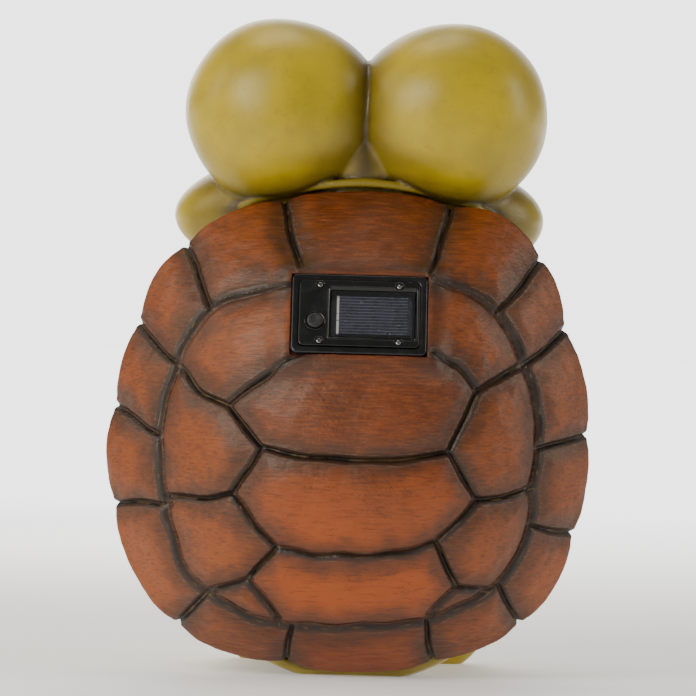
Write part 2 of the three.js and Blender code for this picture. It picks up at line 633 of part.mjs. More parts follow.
function facePlate() {
  const plate = block({ ...PLATE_SIZE, low: PLATE_LOW, high: PLATE_TOP, corner: CORNER - 0.6, bevel: 0.5 });
  const frame = block({
    ...WINDOW, width: WINDOW.width + 3, height: WINDOW.height + 3, low: 0, high: PLATE_TOP + 0.5,
    corner: 1.5, bevel: 0.4,
  });
  const opening = block({ ...WINDOW, low: -10, high: 5, corner: 1 });
  const ring = upright(BUTTON.x, BUTTON.y, 0, PLATE_TOP + 0.5, BUTTON.radius + 1.2, 28);
  const well = upright(BUTTON.x, BUTTON.y, -10, 5, BUTTON.radius + BUTTON.clearance, 28);
  const sinks = SCREWS.map(([x, y]) => upright(x, y, PLATE_TOP - 0.9, 5, SCREW_HEAD_RADIUS + GAP, 16));
  const pilots = SCREWS.map(([x, y]) => upright(x, y, -10, 5, SCREW_SHANK_RADIUS + GAP, 10));
  return cut(join(plate, frame, ring), opening, well, ...sinks, ...pilots);
}

const COVER = { top: PLATE_LOW + 1.3, thick: 1 };
function cellWindow() {
  const { x, y, width, height } = WINDOW;
  const { top, thick } = COVER;
  return block({
    x, y, width: width - 2 * GAP, height: height - 2 * GAP, low: top - thick, high: top, corner: 1,
  });
}
const CELL_TOP = PLATE_LOW - GAP;
const solarCell = () =>
  block({ x: WINDOW.x, y: WINDOW.y, ...CELL, low: CELL_TOP - CELL.thick, high: CELL_TOP, corner: 0.4 });

function screw(x, y) {
  const top = PLATE_TOP + 0.15;
  const under = PLATE_TOP - 0.6;
  const profile = [
    [0, under - 8], [SCREW_SHANK_RADIUS, under - 7], [SCREW_SHANK_RADIUS, under],
    [SCREW_HEAD_RADIUS, under], [SCREW_HEAD_RADIUS - 0.1, top - 0.2], [SCREW_HEAD_RADIUS - 0.6, top],
    [0, top],
  ];
  const geometry = turned(profile, 12);
  geometry.translate(x, y, 0);
  const slot = (w, h) => box(V(x - w, y - h, top - 0.45), V(x + w, y + h, top + 1));
  return cut(solid(geometry), slot(1, 0.25), slot(0.25, 1));
}

// The button: a domed cap, a flange that keeps it in, and a stem that reaches into the switch.
const CAP_LOW = PLATE_LOW - 0.9; // underside of the flange
const SWITCH_LOW = BOARD.top + GAP;
const SWITCH_TOP = CAP_LOW - BUTTON.travel - FIT;
const STEM_END = SWITCH_LOW + SWITCH.floor + BUTTON.travel + GAP;
function button() {
  const top = PLATE_TOP + BUTTON.proud;
  const radius = BUTTON.radius;
  const profile = [
    [0, STEM_END], [STEM_RADIUS, STEM_END], [STEM_RADIUS, CAP_LOW],
    [radius + 1, CAP_LOW], [radius + 1, PLATE_LOW - GAP], [radius, PLATE_LOW - GAP],
    [radius, top - 0.9], [radius - 0.35, top - 0.3], [radius - 1, top], [0, top + 0.15],
  ];
  const geometry = turned(profile, 24);
  geometry.translate(BUTTON.x, BUTTON.y, 0);
  return solid(geometry);
}

function switchBody() {
  const half = SWITCH.size / 2;
  const { x, y } = BUTTON;
  const block = box(V(x - half, y - half, SWITCH_LOW), V(x + half, y + half, SWITCH_TOP));
  return cut(block, upright(x, y, SWITCH_LOW + SWITCH.floor, SWITCH_TOP + 5, SWITCH.bore, 14));
}

// A coil about +Z that starts at the origin; its radius may change along the way.
class Helix extends THREE.Curve {
  constructor(radiusAt, length, turns) {
    super();
    this.radiusAt = radiusAt;
    this.length = length;
    this.turns = turns;
  }
  getPoint(share, target = V(0, 0, 0)) {
    const angle = 2 * Math.PI * this.turns * share;
    const radius = this.radiusAt(share);
    return target.set(radius * Math.cos(angle), radius * Math.sin(angle), this.length * share);
  }
}

// The return spring stands on the board round the switch and lifts the button's flange.
function buttonSpring() {
  const low = BOARD.top + SPRING.wire + SPRING.play;
  const high = CAP_LOW - SPRING.wire - SPRING.play;
  const coil = tube(new Helix(() => SPRING.radius, high - low, SPRING.turns), SPRING.wire, 34, 4);
  return coil.translate([BUTTON.x, BUTTON.y, low]);
}

const boardLow = BOARD.top - BOARD.thick;
const board = () => block({ ...BOARD, low: boardLow, high: BOARD.top, corner: 0.5 });
const CHIP = { x: 10, y: -7, width: 5, height: 4, thick: 1.5, corner: 0.2 };
const chip = () => block({ ...CHIP, low: BOARD.top + GAP, high: BOARD.top + GAP + CHIP.thick });
const coil = () => rod(V(-8, 6, BOARD.top + 1.9), V(0, 6, BOARD.top + 1.9), 1.5, 12);
const cellLead = () => upright(18, 3, BOARD.top + GAP, CELL_TOP - CELL.thick - GAP, 0.7, 8);

const BATTERY = { z: FLOOR + CELL_RADIUS + 0.6, start: -24.2 };
function battery() {
  const profile = [
    [0, 0], [CELL_RADIUS - 0.8, 0], [CELL_RADIUS, 0.8], [CELL_RADIUS, CELL_LENGTH - 0.8],
    [CELL_RADIUS - 0.8, CELL_LENGTH], [2.7, CELL_LENGTH], [2.7, CELL_LENGTH + NUB_LENGTH],
    [0, CELL_LENGTH + NUB_LENGTH],
  ];
  const geometry = turned(profile, 18);
  geometry.rotateY(Math.PI / 2);
  geometry.translate(BATTERY.start, 0, BATTERY.z);
  return solid(geometry);
}
const tabTop = boardLow - GAP;
const tab = (x, thick) => box(V(x, -5, FLOOR + 1), V(x + thick, 5, tabTop));
const positiveTab = () => tab(BATTERY.start + CELL_LENGTH + NUB_LENGTH + GAP, 0.5);
function negativeContact() {
  const plate = -TUB.width / 2 + TUB_WALL + GAP;
  const length = BATTERY.start - GAP - plate - 0.4;
  const spring = tube(new Helix((share) => 4.5 - 2 * share, length - 0.7, 2.2), 0.4, 24, 4);
  return join(tab(plate, 0.5), spring.rotate([0, 90, 0]).translate([plate + 0.7, 0, BATTERY.z]));
}

function gasket() {
  const high = -FLANGE - GAP;
  const outer = block({
    width: MODULE_WIDTH - 1, height: MODULE_HEIGHT - 1, low: high - GASKET, high, corner: CORNER,
  });
  const inner = block({
    width: TUB.width + 2 * FIT, height: TUB.height + 2 * FIT, low: -10, high: 0, corner: CORNER,
  });
  return cut(outer, inner);
}

function grommet() {
  const { bore, flange, hole } = GROMMET;
  const [low, high] = [-TUB_DEPTH - GAP, FLOOR + GAP];
  const profile = [
    [bore, low - 1.2], [flange - 0.5, low - 1.2], [flange, low], [hole - GAP, low], [hole - GAP, high],
    [flange, high], [flange - 0.4, high + 0.6], [bore, high + 0.6], [bore, low - 1.2],
  ];
  const geometry = turned(profile, 14);
  geometry.translate(0, GROMMET.y, 0);
  return solid(geometry);
}

// A lead from the board, out through the grommet, through the neck and up to an eye.
function eyeLead(side) {
  const own = (x, y, z) => inModule(-side * x, y, z);
  const back = SOCKET_MOUTH + HOLDER_LOW - 2 * GAP;
  const route = new THREE.CatmullRomCurve3(
    [
      own(1.2, GROMMET.y, boardLow - GAP),
      own(1.2, GROMMET.y, -TUB_DEPTH + 6),
      own(1.2, GROMMET.y, -TUB_DEPTH - 6),
      V(side * 4, 22, 160),
      V(side * 7, -4, 166),
      V(side * 9, -15, 192),
      V(side * 11, -15, 226),
      V(side * 22, -12, EYE_HEIGHT - 40),
      V(side * 38, -2, EYE_HEIGHT - 16),
      alongGaze(side, 8),
      alongGaze(side, back),
    ],
    false,
    "centripetal",
  );
  return tube(route, LEAD_RADIUS, 30, 4);
}

// ---------------------------------------------------------------- assembly
place(turtle, "carapace", carapace(), finish.shell);
place(turtle, "body", body(), finish.belly);
place(turtle, "head", head(), finish.skin);
for (const side of SIDES) {
  const name = sideName(side);
  place(turtle, `${name}_arm`, arm(side), finish.skin);
  place(turtle, `${name}_leg`, leg(side), finish.skin);
  place(turtle, `${name}_eye_lens`, lens(side), finish.lens);
  place(turtle, `${name}_pupil`, pupil(side), finish.pupil);
  place(turtle, `${name}_led_holder`, holder(side), finish.white);
  place(turtle, `${name}_led`, led(side), finish.lens);
  place(turtle, `${name}_eye_lead`, eyeLead(side), finish.wire);
}

const module = new THREE.Group();
module.applyMatrix4(moduleMatrix);
turtle.add(module);
place(module, "module_housing", housing(), finish.black);
place(module, "module_face", facePlate(), finish.black);
place(module, "cell_window", cellWindow(), finish.clear);
place(module, "solar_cell", solarCell(), finish.cell);
SCREWS.forEach(([x, y], i) => place(module, `face_screw_${i + 1}`, screw(x, y), finish.nickel));
place(module, "power_button", button(), finish.black);
place(module, "button_spring", buttonSpring(), finish.nickel);
place(module, "switch_body", switchBody(), finish.black);
place(module, "circuit_board", board(), finish.board);
place(module, "driver_chip", chip(), finish.black);
place(module, "driver_coil", coil(), finish.white);
place(module, "cell_lead", cellLead(), finish.wire);
place(module, "battery", battery(), finish.battery);
place(module, "positive_contact", positiveTab(), finish.nickel);
place(module, "negative_contact", negativeContact(), finish.nickel);
place(module, "housing_gasket", gasket(), finish.rubber);
place(module, "lead_grommet", grommet(), finish.rubber);

// The origin is the middle of the ornament's footprint, on the ground.
const extent = new THREE.Box3().setFromObject(turtle, true);
turtle.position.set(-(extent.min.x + extent.max.x) / 2, -(extent.min.y + extent.max.y) / 2, 0);

export default turtle;
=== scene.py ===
"""A solar turtle garden ornament, seen from behind: painted cast resin with a lamp module in its back.

Shapes are sculpted in millimetres, in the CAD source's own coordinates, and moved into the frame by
SHIFT, which is read off the CAD nodes.
"""
import math

import bmesh
import bpy
import numpy as np
from mathutils import Matrix, Vector


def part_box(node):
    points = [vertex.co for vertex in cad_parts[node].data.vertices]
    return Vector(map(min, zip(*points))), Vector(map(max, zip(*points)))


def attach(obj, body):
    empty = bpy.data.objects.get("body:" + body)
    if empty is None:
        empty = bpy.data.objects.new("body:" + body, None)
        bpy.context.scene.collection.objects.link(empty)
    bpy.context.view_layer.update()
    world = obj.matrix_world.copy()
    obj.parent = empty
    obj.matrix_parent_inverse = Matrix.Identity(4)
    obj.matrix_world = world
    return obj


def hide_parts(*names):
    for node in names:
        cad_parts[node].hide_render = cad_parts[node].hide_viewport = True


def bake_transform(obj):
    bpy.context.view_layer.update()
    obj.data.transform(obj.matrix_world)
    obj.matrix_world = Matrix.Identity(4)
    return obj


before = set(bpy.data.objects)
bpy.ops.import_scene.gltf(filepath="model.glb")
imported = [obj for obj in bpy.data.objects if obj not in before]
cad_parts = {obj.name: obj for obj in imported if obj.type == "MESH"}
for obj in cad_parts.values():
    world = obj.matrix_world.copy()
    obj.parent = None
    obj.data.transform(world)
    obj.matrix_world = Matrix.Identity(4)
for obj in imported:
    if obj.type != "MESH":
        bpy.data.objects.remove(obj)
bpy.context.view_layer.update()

MM = 0.001
ORIGIN = (0, 0, 0)
GAP = 0.3  # clearance between castings
WALL = 5.0  # thickness of a casting
COARSE = 1.0

# ---------------------------------------------------------------- where the sculpture sits in the frame
SHELL_Y = 8.0
left_lens, right_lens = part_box("left_eye_lens"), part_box("right_eye_lens")
body_low, body_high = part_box("body")
SHIFT = np.array([
    (left_lens[0].x + right_lens[1].x) / 2 / MM,
    body_high.y / MM - (SHELL_Y - GAP),
    body_low.z / MM,
])


# ---------------------------------------------------------------- meshes
def link(name, data):
    """A new object in the scene."""
    obj = bpy.data.objects.new(name, data)
    bpy.context.scene.collection.objects.link(obj)
    return obj


def make_object(name, points, faces, smooth=True):
    """An object from points in sculpture millimetres and a list or array of faces."""
    mesh = bpy.data.meshes.new(name)
    world = (np.asarray(points, float) + SHIFT) * MM
    mesh.from_pydata(world.tolist(), [], [list(map(int, face)) for face in faces])
    mesh.validate()
    mesh.update()
    mesh.polygons.foreach_set("use_smooth", [smooth] * len(mesh.polygons))
    return link(name, mesh)


def store(obj, name, values):
    """Keeps one number for each vertex, for a material to read."""
    layer = obj.data.attributes.new(name, "FLOAT", "POINT")
    layer.data.foreach_set("value", np.asarray(values, np.float32))


def points_of(obj):
    """An object's vertices, back in sculpture millimetres."""
    flat = np.zeros(len(obj.data.vertices) * 3)
    obj.data.vertices.foreach_get("co", flat)
    return flat.reshape(-1, 3) / MM - SHIFT


def smoothstep(low, high, value):
    t = np.clip((value - low) / (high - low), 0, 1)
    return t * t * (3 - 2 * t)


def wobble(points, size, seed=0):
    """A soft, repeatable unevenness between about -1 and 1, from a few crossed waves."""
    total = np.zeros(len(points))
    random = np.random.default_rng(seed)
    for _ in range(7):
        direction = random.normal(size=3)
        direction /= np.linalg.norm(direction)
        pace = 2 * math.pi / size * random.uniform(0.6, 1.5)
        total += np.sin(points @ direction * pace + random.uniform(0, 2 * math.pi))
    return total / 3


def catmull(points, steps, closed=False):
    """A smooth curve through points, with steps to a stretch."""
    points = np.asarray(points, float)
    count = len(points)
    out = []
    for i in range(count if closed else count - 1):
        near = np.arange(i - 1, i + 3)
        p0, p1, p2, p3 = points[near % count if closed else np.clip(near, 0, count - 1)]
        for step in range(steps):
            t = step / steps
            out.append(0.5 * (
                2 * p1 + (p2 - p0) * t + (2 * p0 - 5 * p1 + 4 * p2 - p3) * t * t
                + (3 * p1 - p0 - 3 * p2 + p3) * t ** 3
            ))
    if not closed:
        out.append(points[-1])
    return np.array(out)


def way_to_line(points, line):
    """From each point to the nearest place on a polyline."""
    best = np.full(len(points), 1e9)
    way = np.zeros_like(points)
    for a, b in zip(line[:-1], line[1:]):
        along = b - a
        share = np.clip((points - a) @ along / max(along @ along, 1e-9), 0, 1)
        step = a + share[:, None] * along - points
        length = np.linalg.norm(step, axis=1)
        nearer = length < best
        best[nearer] = length[nearer]
        way[nearer] = step[nearer]
    return way


def distance_to_line(points, line):
    return np.linalg.norm(way_to_line(points, line), axis=1)


# ---------------------------------------------------------------- sculpting with distances
def ellipsoid(points, centre, radii):
    relative = points - np.asarray(centre, float)
    radii = np.asarray(radii, float)
    near = np.linalg.norm(relative / radii, axis=1)
    slope = np.linalg.norm(relative / radii ** 2, axis=1)
    return near * (near - 1) / np.maximum(slope, 1e-6)


def egg(points, centre, radii, top):
    """An ellipsoid whose upper half is stretched to its own height."""
    relative = points - np.asarray(centre, float)
    upper = relative[:, 2] > 0
    tall = np.array([radii[0], radii[1], top])
    return np.where(upper, ellipsoid(relative, ORIGIN, tall), ellipsoid(relative, ORIGIN, radii))


def capsule(points, start, end, radius_start, radius_end):
    start, end = np.asarray(start, float), np.asarray(end, float)
    along = end - start
    share = np.clip((points - start) @ along / (along @ along), 0, 1)
    radius = radius_start + (radius_end - radius_start) * share
    return np.linalg.norm(points - start - share[:, None] * along, axis=1) - radius


def blend(a, b, soft):
    """The union of two distances, with a fillet of about the size of soft."""
    overlap = np.maximum(soft - np.abs(a - b), 0) / soft
    return np.minimum(a, b) - overlap ** 2 * soft / 4


def carve(a, b, soft=0.01):
    """a with b taken out of it, and the edge softened."""
    return -blend(-a, b, soft)


def beside(cells, others, i, j):
    """The cells that lie i and j steps back along the other two axes."""
    cells = cells.copy()
    cells[:, others[0]] -= i
    cells[:, others[1]] -= j
    return cells


def surface(name, distance, low, high, step):
    """A closed mesh of the surface where distance(points) is 0, as quads that follow it."""
    axes = [np.arange(l, h + step, step) for l, h in zip(low, high)]
    shape = tuple(len(axis) for axis in axes)
    grid = np.stack(np.meshgrid(*axes, indexing="ij"), -1).reshape(-1, 3)
    value = np.concatenate([distance(part) for part in np.array_split(grid, 24)]).reshape(shape)
    inside = value < 0
    cells = tuple(n - 1 for n in shape)
    total = np.zeros(cells + (3,))
    count = np.zeros(cells)
    crossings = []
    for axis in range(3):
        near = tuple(slice(None, -1) if k == axis else slice(None) for k in range(3))
        far = tuple(slice(1, None) if k == axis else slice(None) for k in range(3))
        at = np.argwhere(inside[near] != inside[far])
        v0 = value[near][tuple(at.T)]
        v1 = value[far][tuple(at.T)]
        place = at.astype(float)
        place[:, axis] += v0 / (v0 - v1)
        others = [k for k in range(3) if k != axis]
        for i, j in ((0, 0), (0, 1), (1, 0), (1, 1)):
            cell = beside(at, others, i, j)
            good = np.all((cell >= 0) & (cell < np.array(cells)), axis=1)
            index = tuple(cell[good].T)
            np.add.at(total, index, place[good])
            np.add.at(count, index, 1)
        crossings.append((at, v0 < 0, others))
    used = count > 0
    number = np.full(cells, -1)
    number[used] = np.arange(used.sum())
    points = total[used] / count[used][:, None] * step + np.array([axis[0] for axis in axes])
    faces = []
    for axis, (at, starts_inside, others) in enumerate(crossings):
        ring = []
        for i, j in ((0, 0), (1, 0), (1, 1), (0, 1)):
            cell = beside(at, others, i, j)
            ring.append(number[tuple(np.clip(cell, 0, np.array(cells) - 1).T)])
        quads = np.stack(ring, 1)
        flip = starts_inside if axis == 1 else ~starts_inside
        quads[flip] = quads[flip][:, ::-1]
        faces.append(quads)
    faces = np.concatenate(faces)
    for _ in range(2):
        points = points - pull(distance, points, step)
    return make_object(name, points, faces)


def pull(distance, points, step):
    """How far each point has to move to lie on the surface."""
    small = 0.05
    gradient = np.stack(
        [distance(points + offset) - distance(points - offset) for offset in np.eye(3) * small], 1
    ) / (2 * small)
    length = np.maximum((gradient ** 2).sum(1), 0.2)
    move = distance(points)[:, None] * gradient / length[:, None]
    far = np.linalg.norm(move, axis=1, keepdims=True)
    return move * np.minimum(1, 0.6 * step / np.maximum(far, 1e-9))


# ---------------------------------------------------------------- the shell's outline and dome
SHELL_CENTRE = np.array([3.0, 118.0])
SHELL_RISE = 70.0
RIM_LIFT = 7.0
DOME_POWER = 2.3
OUTLINE = [
    (-121, 116), (-118, 152), (-108, 186), (-96, 218), (-72, 241), (-36, 249), (2, 252), (42, 248),
    (76, 236), (104, 211), (117, 182), (127, 146), (130, 108), (120, 62), (97, 28), (66, 11),
    (28, 4), (-8, 2), (-46, 8), (-82, 24), (-104, 48), (-116, 80),
]
outline = catmull(OUTLINE, 24, closed=True) - SHELL_CENTRE
outline_angles = np.unwrap(np.arctan2(outline[:, 1], outline[:, 0]))
outline_order = np.argsort(outline_angles % (2 * math.pi))
OUTLINE_ANGLE = (outline_angles % (2 * math.pi))[outline_order]
OUTLINE_RADIUS = np.linalg.norm(outline, axis=1)[outline_order]


def outline_radius(angle):
    return np.interp(angle % (2 * math.pi), OUTLINE_ANGLE, OUTLINE_RADIUS, period=2 * math.pi)


def dome_height(rho):
    return RIM_LIFT + SHELL_RISE * (1 - np.clip(rho, 0, 1) ** DOME_POWER)


def shell_rho(x, z):
    """0 at the dome's middle and 1 on its outline."""
    flat = np.stack([x, z], -1) - SHELL_CENTRE
    return np.linalg.norm(flat, axis=-1) / outline_radius(np.arctan2(flat[..., 1], flat[..., 0]))


def dome_y(x, z):
    return SHELL_Y + dome_height(shell_rho(x, z))


# ---------------------------------------------------------------- the grooves between the scutes
GATE_LEFT, GATE_RIGHT = (33, 203), (-38, 207)
TUB_LEFT, TUB_RIGHT = (27, 170), (-37, 170)
WAIST_LEFT, WAIST_RIGHT = (67, 141), (-61, 151)
UP_LEFT, UP_RIGHT = (50, 119), (-47, 120)
MID_LEFT, MID_RIGHT = (64, 95), (-63, 95)
LOW_LEFT, LOW_RIGHT = (41, 68), (-42, 73)
HIP_LEFT, HIP_RIGHT = (55, 50), (-53, 49)
RING_LEFT = [
    GATE_LEFT, (59, 198), (79, 188), (89, 176), (95, 160), (100, 142), (103, 122), (101, 100),
    (98, 84), (92, 64), (84, 50), (73, 41), (58, 33), (42, 28), (22, 26), (-2, 27),
]
RING_RIGHT = [
    (-2, 27), (-26, 29), (-44, 33), (-60, 41), (-77, 53), (-88, 72), (-92, 100), (-94, 130),
    (-90, 152), (-84, 168), (-76, 184), (-66, 196), (-54, 203), GATE_RIGHT,
]
MARGINALS = [
    [(32, 212), (44, 256)], [(78, 191), (97, 234)], [(95, 161), (125, 188)], [(103, 123), (134, 143)],
    [(97, 88), (136, 87)], [(75, 43), (98, 17)], [(32, 24), (36, -6)],
    [(-35, 211), (-50, 259)], [(-71, 193), (-101, 228)], [(-86, 166), (-116, 190)],
    [(-94, 122), (-130, 132)], [(-91, 81), (-128, 75)], [(-77, 49), (-91, 20)], [(-38, 29), (-44, 0)],
]
FLANKS = [
    [TUB_LEFT, (46, 158), WAIST_LEFT], [WAIST_LEFT, UP_LEFT], [UP_LEFT, MID_LEFT], [MID_LEFT, LOW_LEFT],
    [TUB_RIGHT, (-52, 163), WAIST_RIGHT], [WAIST_RIGHT, UP_RIGHT], [UP_RIGHT, MID_RIGHT],
    [MID_RIGHT, LOW_RIGHT],
    [WAIST_LEFT, (84, 148), (95, 161)], [WAIST_RIGHT, (-73, 158), (-86, 166)],
    [UP_LEFT, (26, 116), (0, 115), (-24, 116), UP_RIGHT],
    [MID_LEFT, (82, 92), (99, 93)], [MID_RIGHT, (-78, 97), (-92, 102)],
    [LOW_LEFT, (18, 65), (-16, 66), LOW_RIGHT],
    [LOW_LEFT, HIP_LEFT], [HIP_LEFT, (42, 37), (38, 28)],
    [LOW_RIGHT, HIP_RIGHT], [HIP_RIGHT, (-44, 40), (-38, 32)],
    [HIP_LEFT, (74, 44)], [HIP_RIGHT, (-69, 48)],
]
SEAMS = [catmull(seam, 5) for seam in [RING_LEFT, RING_RIGHT, *MARGINALS, *FLANKS]]

SEAM_REACH = 40.0  # what counts as far from every groove
SEAM_BOX = 26  # how far outside its own box a groove is looked for
SEAM_WAVER = 0.8


def way_to_seam(x, z):
    """From each point of the shell to the nearest groove, a hand-cut line with a slight waver."""
    place = np.stack([x, np.zeros_like(x), z], 1)
    waver = np.stack([wobble(place, 31, 1), wobble(place, 27, 2)], 1)
    flat = np.stack([x, z], 1) + SEAM_WAVER * waver
    best = np.full(len(flat), SEAM_REACH)
    way = np.zeros_like(flat)
    for seam in SEAMS:
        in_box = (flat > seam.min(0) - SEAM_BOX) & (flat < seam.max(0) + SEAM_BOX)
        near = np.flatnonzero(np.all(in_box, axis=1))
        step = way_to_line(flat[near], seam)
        length = np.linalg.norm(step, axis=1)
        nearer = length < best[near]
        best[near[nearer]] = length[nearer]
        way[near[nearer]] = step[nearer]
    return way, best


FLANK_LEFT = [TUB_LEFT, WAIST_LEFT, UP_LEFT, MID_LEFT, LOW_LEFT, HIP_LEFT, (42, 24)]
FLANK_RIGHT = [TUB_RIGHT, WAIST_RIGHT, UP_RIGHT, MID_RIGHT, LOW_RIGHT, HIP_RIGHT, (-42, 24)]


def flank_share(x, z):
    """0 on the scutes of the middle row and 1 on those beside them, which are painted paler."""
    edges = []
    for line in (FLANK_LEFT, FLANK_RIGHT):
        line = np.array(sorted(line, key=lambda point: point[1]), float)
        edges.append(np.interp(z, line[:, 1], line[:, 0]))
    left, right = edges
    return smoothstep(-5, 5, np.maximum(x - left, right - x))


# ---------------------------------------------------------------- the module's place
MODULE_WIDTH, MODULE_HEIGHT = 69.0, 45.0
MODULE_X, MODULE_Z = 1.0, 189.0
MODULE_SINK = 0.5
MODULE_TILT = math.radians(28)
OUT = np.array([0, math.cos(MODULE_TILT), math.sin(MODULE_TILT)])
UP = np.array([0, -math.sin(MODULE_TILT), math.cos(MODULE_TILT)])
RIGHT = np.array([-1.0, 0, 0])
MODULE_ORIGIN = np.array([MODULE_X, dome_y(MODULE_X, MODULE_Z), MODULE_Z]) - MODULE_SINK * OUT
SEAT_FACE = -0.9  # the shell round the flange, against the flange's top
SEAT_SLOPE = 0.1
SEAT_BORDER, SEAT_FADE = 2.0, 13.0  # how far it stays flat, and how far the shoulder reaches
SEAT_DEPTH, SEAT_PLAY = 4.1, 0.9
HOLE_BORDER = 5.2  # how much smaller than the flange the hole for the tub is
HOLE_DEPTH = 29


def around_module(points, border=0.0):
    """How far points lie outside the module's outline and a border, and how far out of its face."""
    relative = points - MODULE_ORIGIN
    aside = np.maximum(np.abs(relative @ RIGHT) - MODULE_WIDTH / 2 - border, 0)
    beyond = np.maximum(np.abs(relative @ UP) - MODULE_HEIGHT / 2 - border, 0)
    return np.hypot(aside, beyond), relative @ OUT


# ---------------------------------------------------------------- the shell
RINGS, SIDES = ((136, 680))
GROOVE_DEPTH, GROOVE_WIDTH = 2.1, 1.05
PILLOW_DEPTH, PILLOW_WIDTH = 3.0, 7.5
LIP_HEIGHT, LIP_WIDTH, LIP_PLACE = 0.4, 1.1, 2.6  # the raised edge along a groove
CROWDING, CROWD_WIDTH = 0.55, 3.5  # how much closer the mesh's points lie in a groove
UNEVEN = ((0.4, 38, 3), (0.16, 9, 4), (0.05, 3.5, 11))  # height, size and seed of each unevenness
RIM_ROUND = 3.5  # the rim is rounded over by this much
DOOR_X, DOOR_Z = 82, 95  # half sizes of the doorway into the body


def dome_normals(x, z):
    small = 0.2
    slope_x = (dome_y(x + small, z) - dome_y(x - small, z)) / (2 * small)
    slope_z = (dome_y(x, z + small) - dome_y(x, z - small)) / (2 * small)
    normals = np.stack([-slope_x, np.ones_like(x), -slope_z], 1)
    return normals / np.linalg.norm(normals, axis=1, keepdims=True)


def make_shell():
    angle = -2 * math.pi * np.arange(SIDES) / SIDES
    radius = outline_radius(angle)
    spokes = np.stack([np.cos(angle), np.zeros(SIDES), np.sin(angle)], 1)
    middle = np.array([SHELL_CENTRE[0], 0, SHELL_CENTRE[1]])

    def ring(reach, height):
        points = middle + spokes * np.broadcast_to(reach, (SIDES,))[:, None]
        points[:, 1] = SHELL_Y + height
        return points

    outer = []
    for rho in np.linspace(0.004, 1, RINGS) ** 0.93:
        outer.append(ring(rho * (radius - 0.6), float(dome_height(rho))))
    flat = np.array(outer).reshape(-1, 3)
    way, seam = way_to_seam(flat[:, 0], flat[:, 2])
    rho = shell_rho(flat[:, 0], flat[:, 2])
    crowd = CROWDING * np.exp(-((seam / CROWD_WIDTH) ** 2)) * (1 - smoothstep(0.93, 0.99, rho))
    flat[:, 0] += crowd * way[:, 0]
    flat[:, 2] += crowd * way[:, 1]
    rho = np.minimum(shell_rho(flat[:, 0], flat[:, 2]), rho.max())
    flat[:, 1] = SHELL_Y + dome_height(rho)
    facing = dome_normals(flat[:, 0], flat[:, 2])
    flat += facing * sum(height * wobble(flat, size, seed) for height, size, seed in UNEVEN)[:, None]

    # Round the module the shell is levelled into a flat seat with a soft shoulder.
    away, out = around_module(flat, SEAT_BORDER)
    share = 1 - smoothstep(0, SEAT_FADE, away)
    share[out < -60] = 0  # the far side of the dome
    flat += ((SEAT_FACE - SEAT_SLOPE * away - out) * share)[:, None] * OUT
    facing = facing * (1 - share[:, None]) + share[:, None] * OUT
    facing /= np.linalg.norm(facing, axis=1, keepdims=True)

    # The grooves, and the swelling of the scutes between them.
    seam = seam * (1 - crowd)
    groove = GROOVE_DEPTH * np.exp(-((seam / GROOVE_WIDTH) ** 2))
    pillow = PILLOW_DEPTH * np.exp(-((seam / PILLOW_WIDTH) ** 1.5)) * (1 - 0.7 * share)
    lip = LIP_HEIGHT * np.exp(-(((seam - LIP_PLACE) / LIP_WIDTH) ** 2))
    flat += facing * (lip - groove - pillow)[:, None]
    outer = flat.reshape(RINGS, SIDES, 3)

    # The rim turns under, and the underside runs in to the doorway that opens into the body.
    rim = outer[-1]
    rings = [*outer]
    for step in (0.25, 0.6, 1.0):
        turn = step * math.pi / 2
        points = rim - spokes * (RIM_ROUND * (1 - math.cos(turn)))
        points[:, 1] = rim[:, 1] - (rim[:, 1] - SHELL_Y) * math.sin(turn)
        rings.append(points)
    door = 1 / np.sqrt((np.cos(angle) / DOOR_X) ** 2 + (np.sin(angle) / DOOR_Z) ** 2)
    for share in (0.35, 0.75, 1.0):
        rings.append(ring((radius - 5) * (1 - share) + door * share, 0))
    rings.append(ring(door, WALL))
    rings.append(ring(radius - 3 * WALL, WALL))
    for rho in (0.9, 0.75, 0.55, 0.3, 0.05):
        rings.append(ring(rho * (radius - WALL), float(dome_height(rho)) - WALL - 3.5))
    points = np.concatenate([*rings, [rings[0].mean(0)], [rings[-1].mean(0)]])
    count = len(rings)
    number = np.arange(count * SIDES).reshape(count, SIDES)
    after = np.roll(number, -1, 1)
    quads = np.stack([number[:-1], after[:-1], after[1:], number[1:]], -1).reshape(-1, 4)
    first, last = count * SIDES, count * SIDES + 1
    caps = [(first, after[0, i], number[0, i]) for i in range(SIDES)]
    caps += [(last, number[-1, i], after[-1, i]) for i in range(SIDES)]
    shell = make_object("shell_sculpt", points, [*quads.tolist(), *caps])
    open_seat(shell)
    points = points_of(shell)
    upper = points[:, 1] > SHELL_Y + 1
    seam = way_to_seam(points[:, 0], points[:, 2])[1]
    away, out = around_module(points)
    store(shell, "seam", np.where(upper, seam, 3.0))
    store(shell, "seat", np.where(out > -25, away, 60))
    store(shell, "flank", flank_share(points[:, 0], points[:, 2]))
    return shell


def cutter_box(name, width, height, low, high):
    corners = [(x, y, z) for x in (-1, 1) for y in (-1, 1) for z in (low, high)]
    points = [
        MODULE_ORIGIN + RIGHT * x * width / 2 + UP * y * height / 2 + OUT * z for x, y, z in corners
    ]
    faces = [(0, 1, 3, 2), (4, 6, 7, 5), (0, 4, 5, 1), (2, 3, 7, 6), (0, 2, 6, 4), (1, 5, 7, 3)]
    return make_object(name, points, faces, smooth=False)


def open_seat(shell):
    """Cuts the flange's recess and the hole for the tub."""
    for grow, low, high in ((SEAT_PLAY, -SEAT_DEPTH, 14), (-HOLE_BORDER, -HOLE_DEPTH, 13)):
        boolean(shell, cutter_box("tool", MODULE_WIDTH + grow, MODULE_HEIGHT + grow, low, high))


